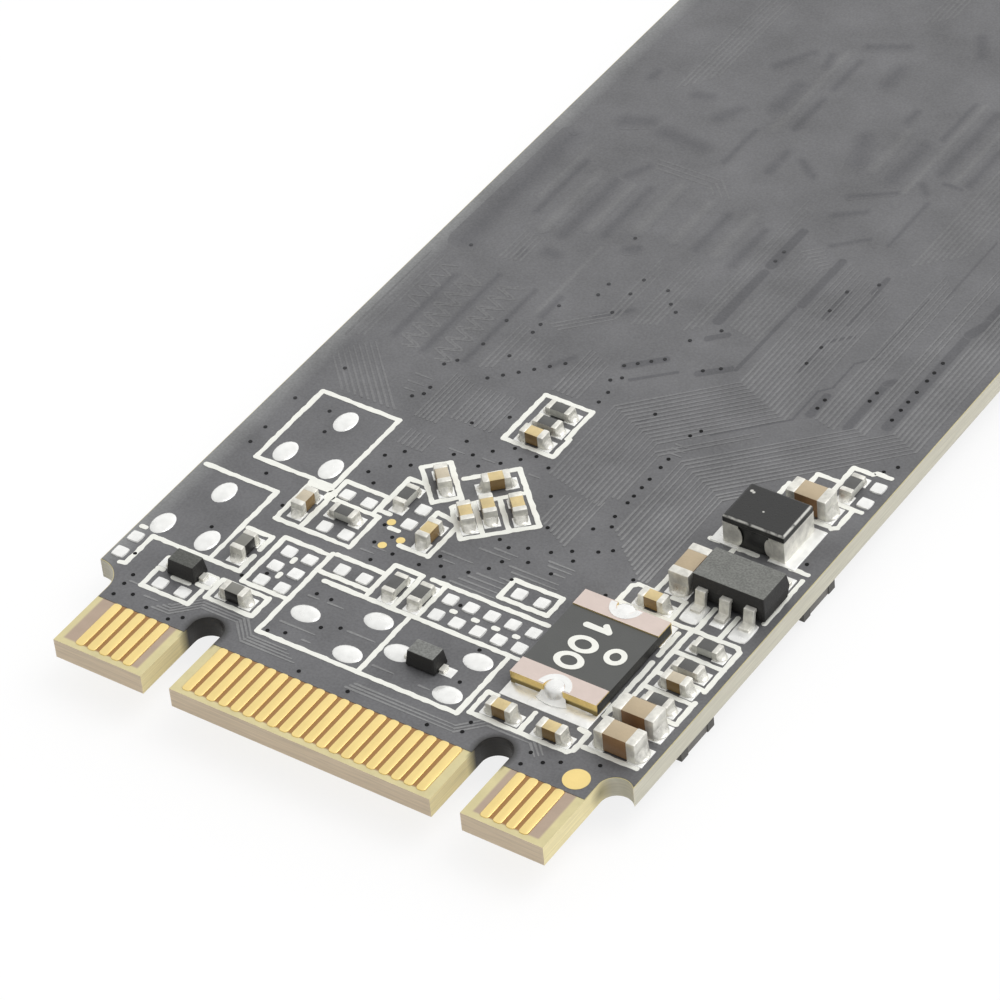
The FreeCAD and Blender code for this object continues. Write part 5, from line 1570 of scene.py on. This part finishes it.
def floor_finish(settings):
    """Pale floor that shows nearly white to the camera and keeps a soft shadow."""
    material, tree, shader = new_material("floor")
    tree.nodes.remove(shader)
    paper = add_node(tree, "ShaderNodeBsdfDiffuse", {"Color": FLOOR_GREY})
    white = add_node(tree, "ShaderNodeEmission", {"Strength": FLOOR_WHITE})
    share = combine(tree, "MULTIPLY", background_rays(tree), settings.floor_glow)
    blend = add_node(tree, "ShaderNodeMixShader", {"Fac": share, 1: paper.outputs["BSDF"],
                                                   2: white.outputs["Emission"]})
    set_inputs(tree, tree.nodes["Material Output"], {"Surface": blend.outputs["Shader"]})
    return material


def lay_floor(scene, settings):
    """Wide floor just under the drive."""
    bm = bmesh.new()
    bmesh.ops.create_grid(bm, x_segments=1, y_segments=1, size=FLOOR_REACH)
    bmesh.ops.translate(bm, vec=(0, 0, CAD_BOX[0].z - FLOOR_DROP * MM), verts=bm.verts)
    mesh = bpy.data.meshes.new("floor")
    bm.to_mesh(mesh)
    bm.free()
    mesh.materials.append(floor_finish(settings))
    floor = bpy.data.objects.new("floor", mesh)
    scene.collection.objects.link(floor)


def hang_lamp(scene, settings):
    """Soft lamp above the drive."""
    data = bpy.data.lights.new("key_lamp", "AREA")
    data.energy = settings.key
    data.size = LAMP_SIZE
    lamp = bpy.data.objects.new("key_lamp", data)
    direction = Vector(LAMP_SIDE).normalized()
    lamp.location = direction * LAMP_DISTANCE
    lamp.rotation_mode = "QUATERNION"
    lamp.rotation_quaternion = (-direction).to_track_quat("-Z", "Y")
    scene.collection.objects.link(lamp)


def light_world(scene, settings):
    """Sky that shows white, and lights the drive more from behind than from before it."""
    world = bpy.data.worlds.new("sky")
    world.use_nodes = True
    tree = world.node_tree
    direction = tree.nodes.new("ShaderNodeTexCoord").outputs["Generated"]
    parts = add_node(tree, "ShaderNodeSeparateXYZ", {0: direction}).outputs
    slope = ramp(tree, parts["Y"], -1.0, 1.0, settings.sky_front, settings.sky_back)
    level = combine(tree, "MAXIMUM", slope, background_rays(tree))
    set_inputs(tree, tree.nodes["Background"], {"Color": (1.0, 1.0, 1.0, 1.0), "Strength": level})
    scene.world = world


class DRIVE_OT_stage(bpy.types.Operator):
    """Camera, floor and light"""
    bl_idname = "drive.stage"
    bl_label = "Stage"

    def execute(self, context):
        settings = context.scene.drive_stage
        place_camera(context.scene, settings)
        lay_floor(context.scene, settings)
        hang_lamp(context.scene, settings)
        light_world(context.scene, settings)
        context.scene.view_settings.view_transform = "Standard"
        return {"FINISHED"}


OPERATORS = (DRIVE_OT_board, DRIVE_OT_traces, DRIVE_OT_print, DRIVE_OT_contacts, DRIVE_OT_pads,
             DRIVE_OT_chips, DRIVE_OT_packages, DRIVE_OT_fuse, DRIVE_OT_underside, DRIVE_OT_stage)


class DRIVE_PT_panel(bpy.types.Panel):
    """Lists the steps that build the drive"""
    bl_idname = "DRIVE_PT_panel"
    bl_label = "Gumstick Drive"
    bl_space_type = "VIEW_3D"
    bl_region_type = "UI"
    bl_category = "Drive"

    def draw(self, context):
        for operator in OPERATORS:
            self.layout.operator(operator.bl_idname)
        for group in (context.scene.drive_sizes, context.scene.drive_colours, context.scene.drive_stage):
            for name in group.__annotations__:
                self.layout.prop(group, name)


CLASSES = (DriveSizes, DriveColours, StageSettings, *OPERATORS, DRIVE_PT_panel)


def register():
    """Register the classes and their values on the scene."""
    for kind in CLASSES:
        bpy.utils.register_class(kind)
    bpy.types.Scene.drive_sizes = PointerProperty(type=DriveSizes)
    bpy.types.Scene.drive_colours = PointerProperty(type=DriveColours)
    bpy.types.Scene.drive_stage = PointerProperty(type=StageSettings)


def unregister():
    """Take the classes and their values away again."""
    del bpy.types.Scene.drive_sizes
    del bpy.types.Scene.drive_colours
    del bpy.types.Scene.drive_stage
    for kind in reversed(CLASSES):
        bpy.utils.unregister_class(kind)


def main():
    """Build the drive."""
    register()
    for operator in OPERATORS:
        group, name = operator.bl_idname.split(".")
        getattr(getattr(bpy.ops, group), name)()


if __name__ == "__main__":
    main()
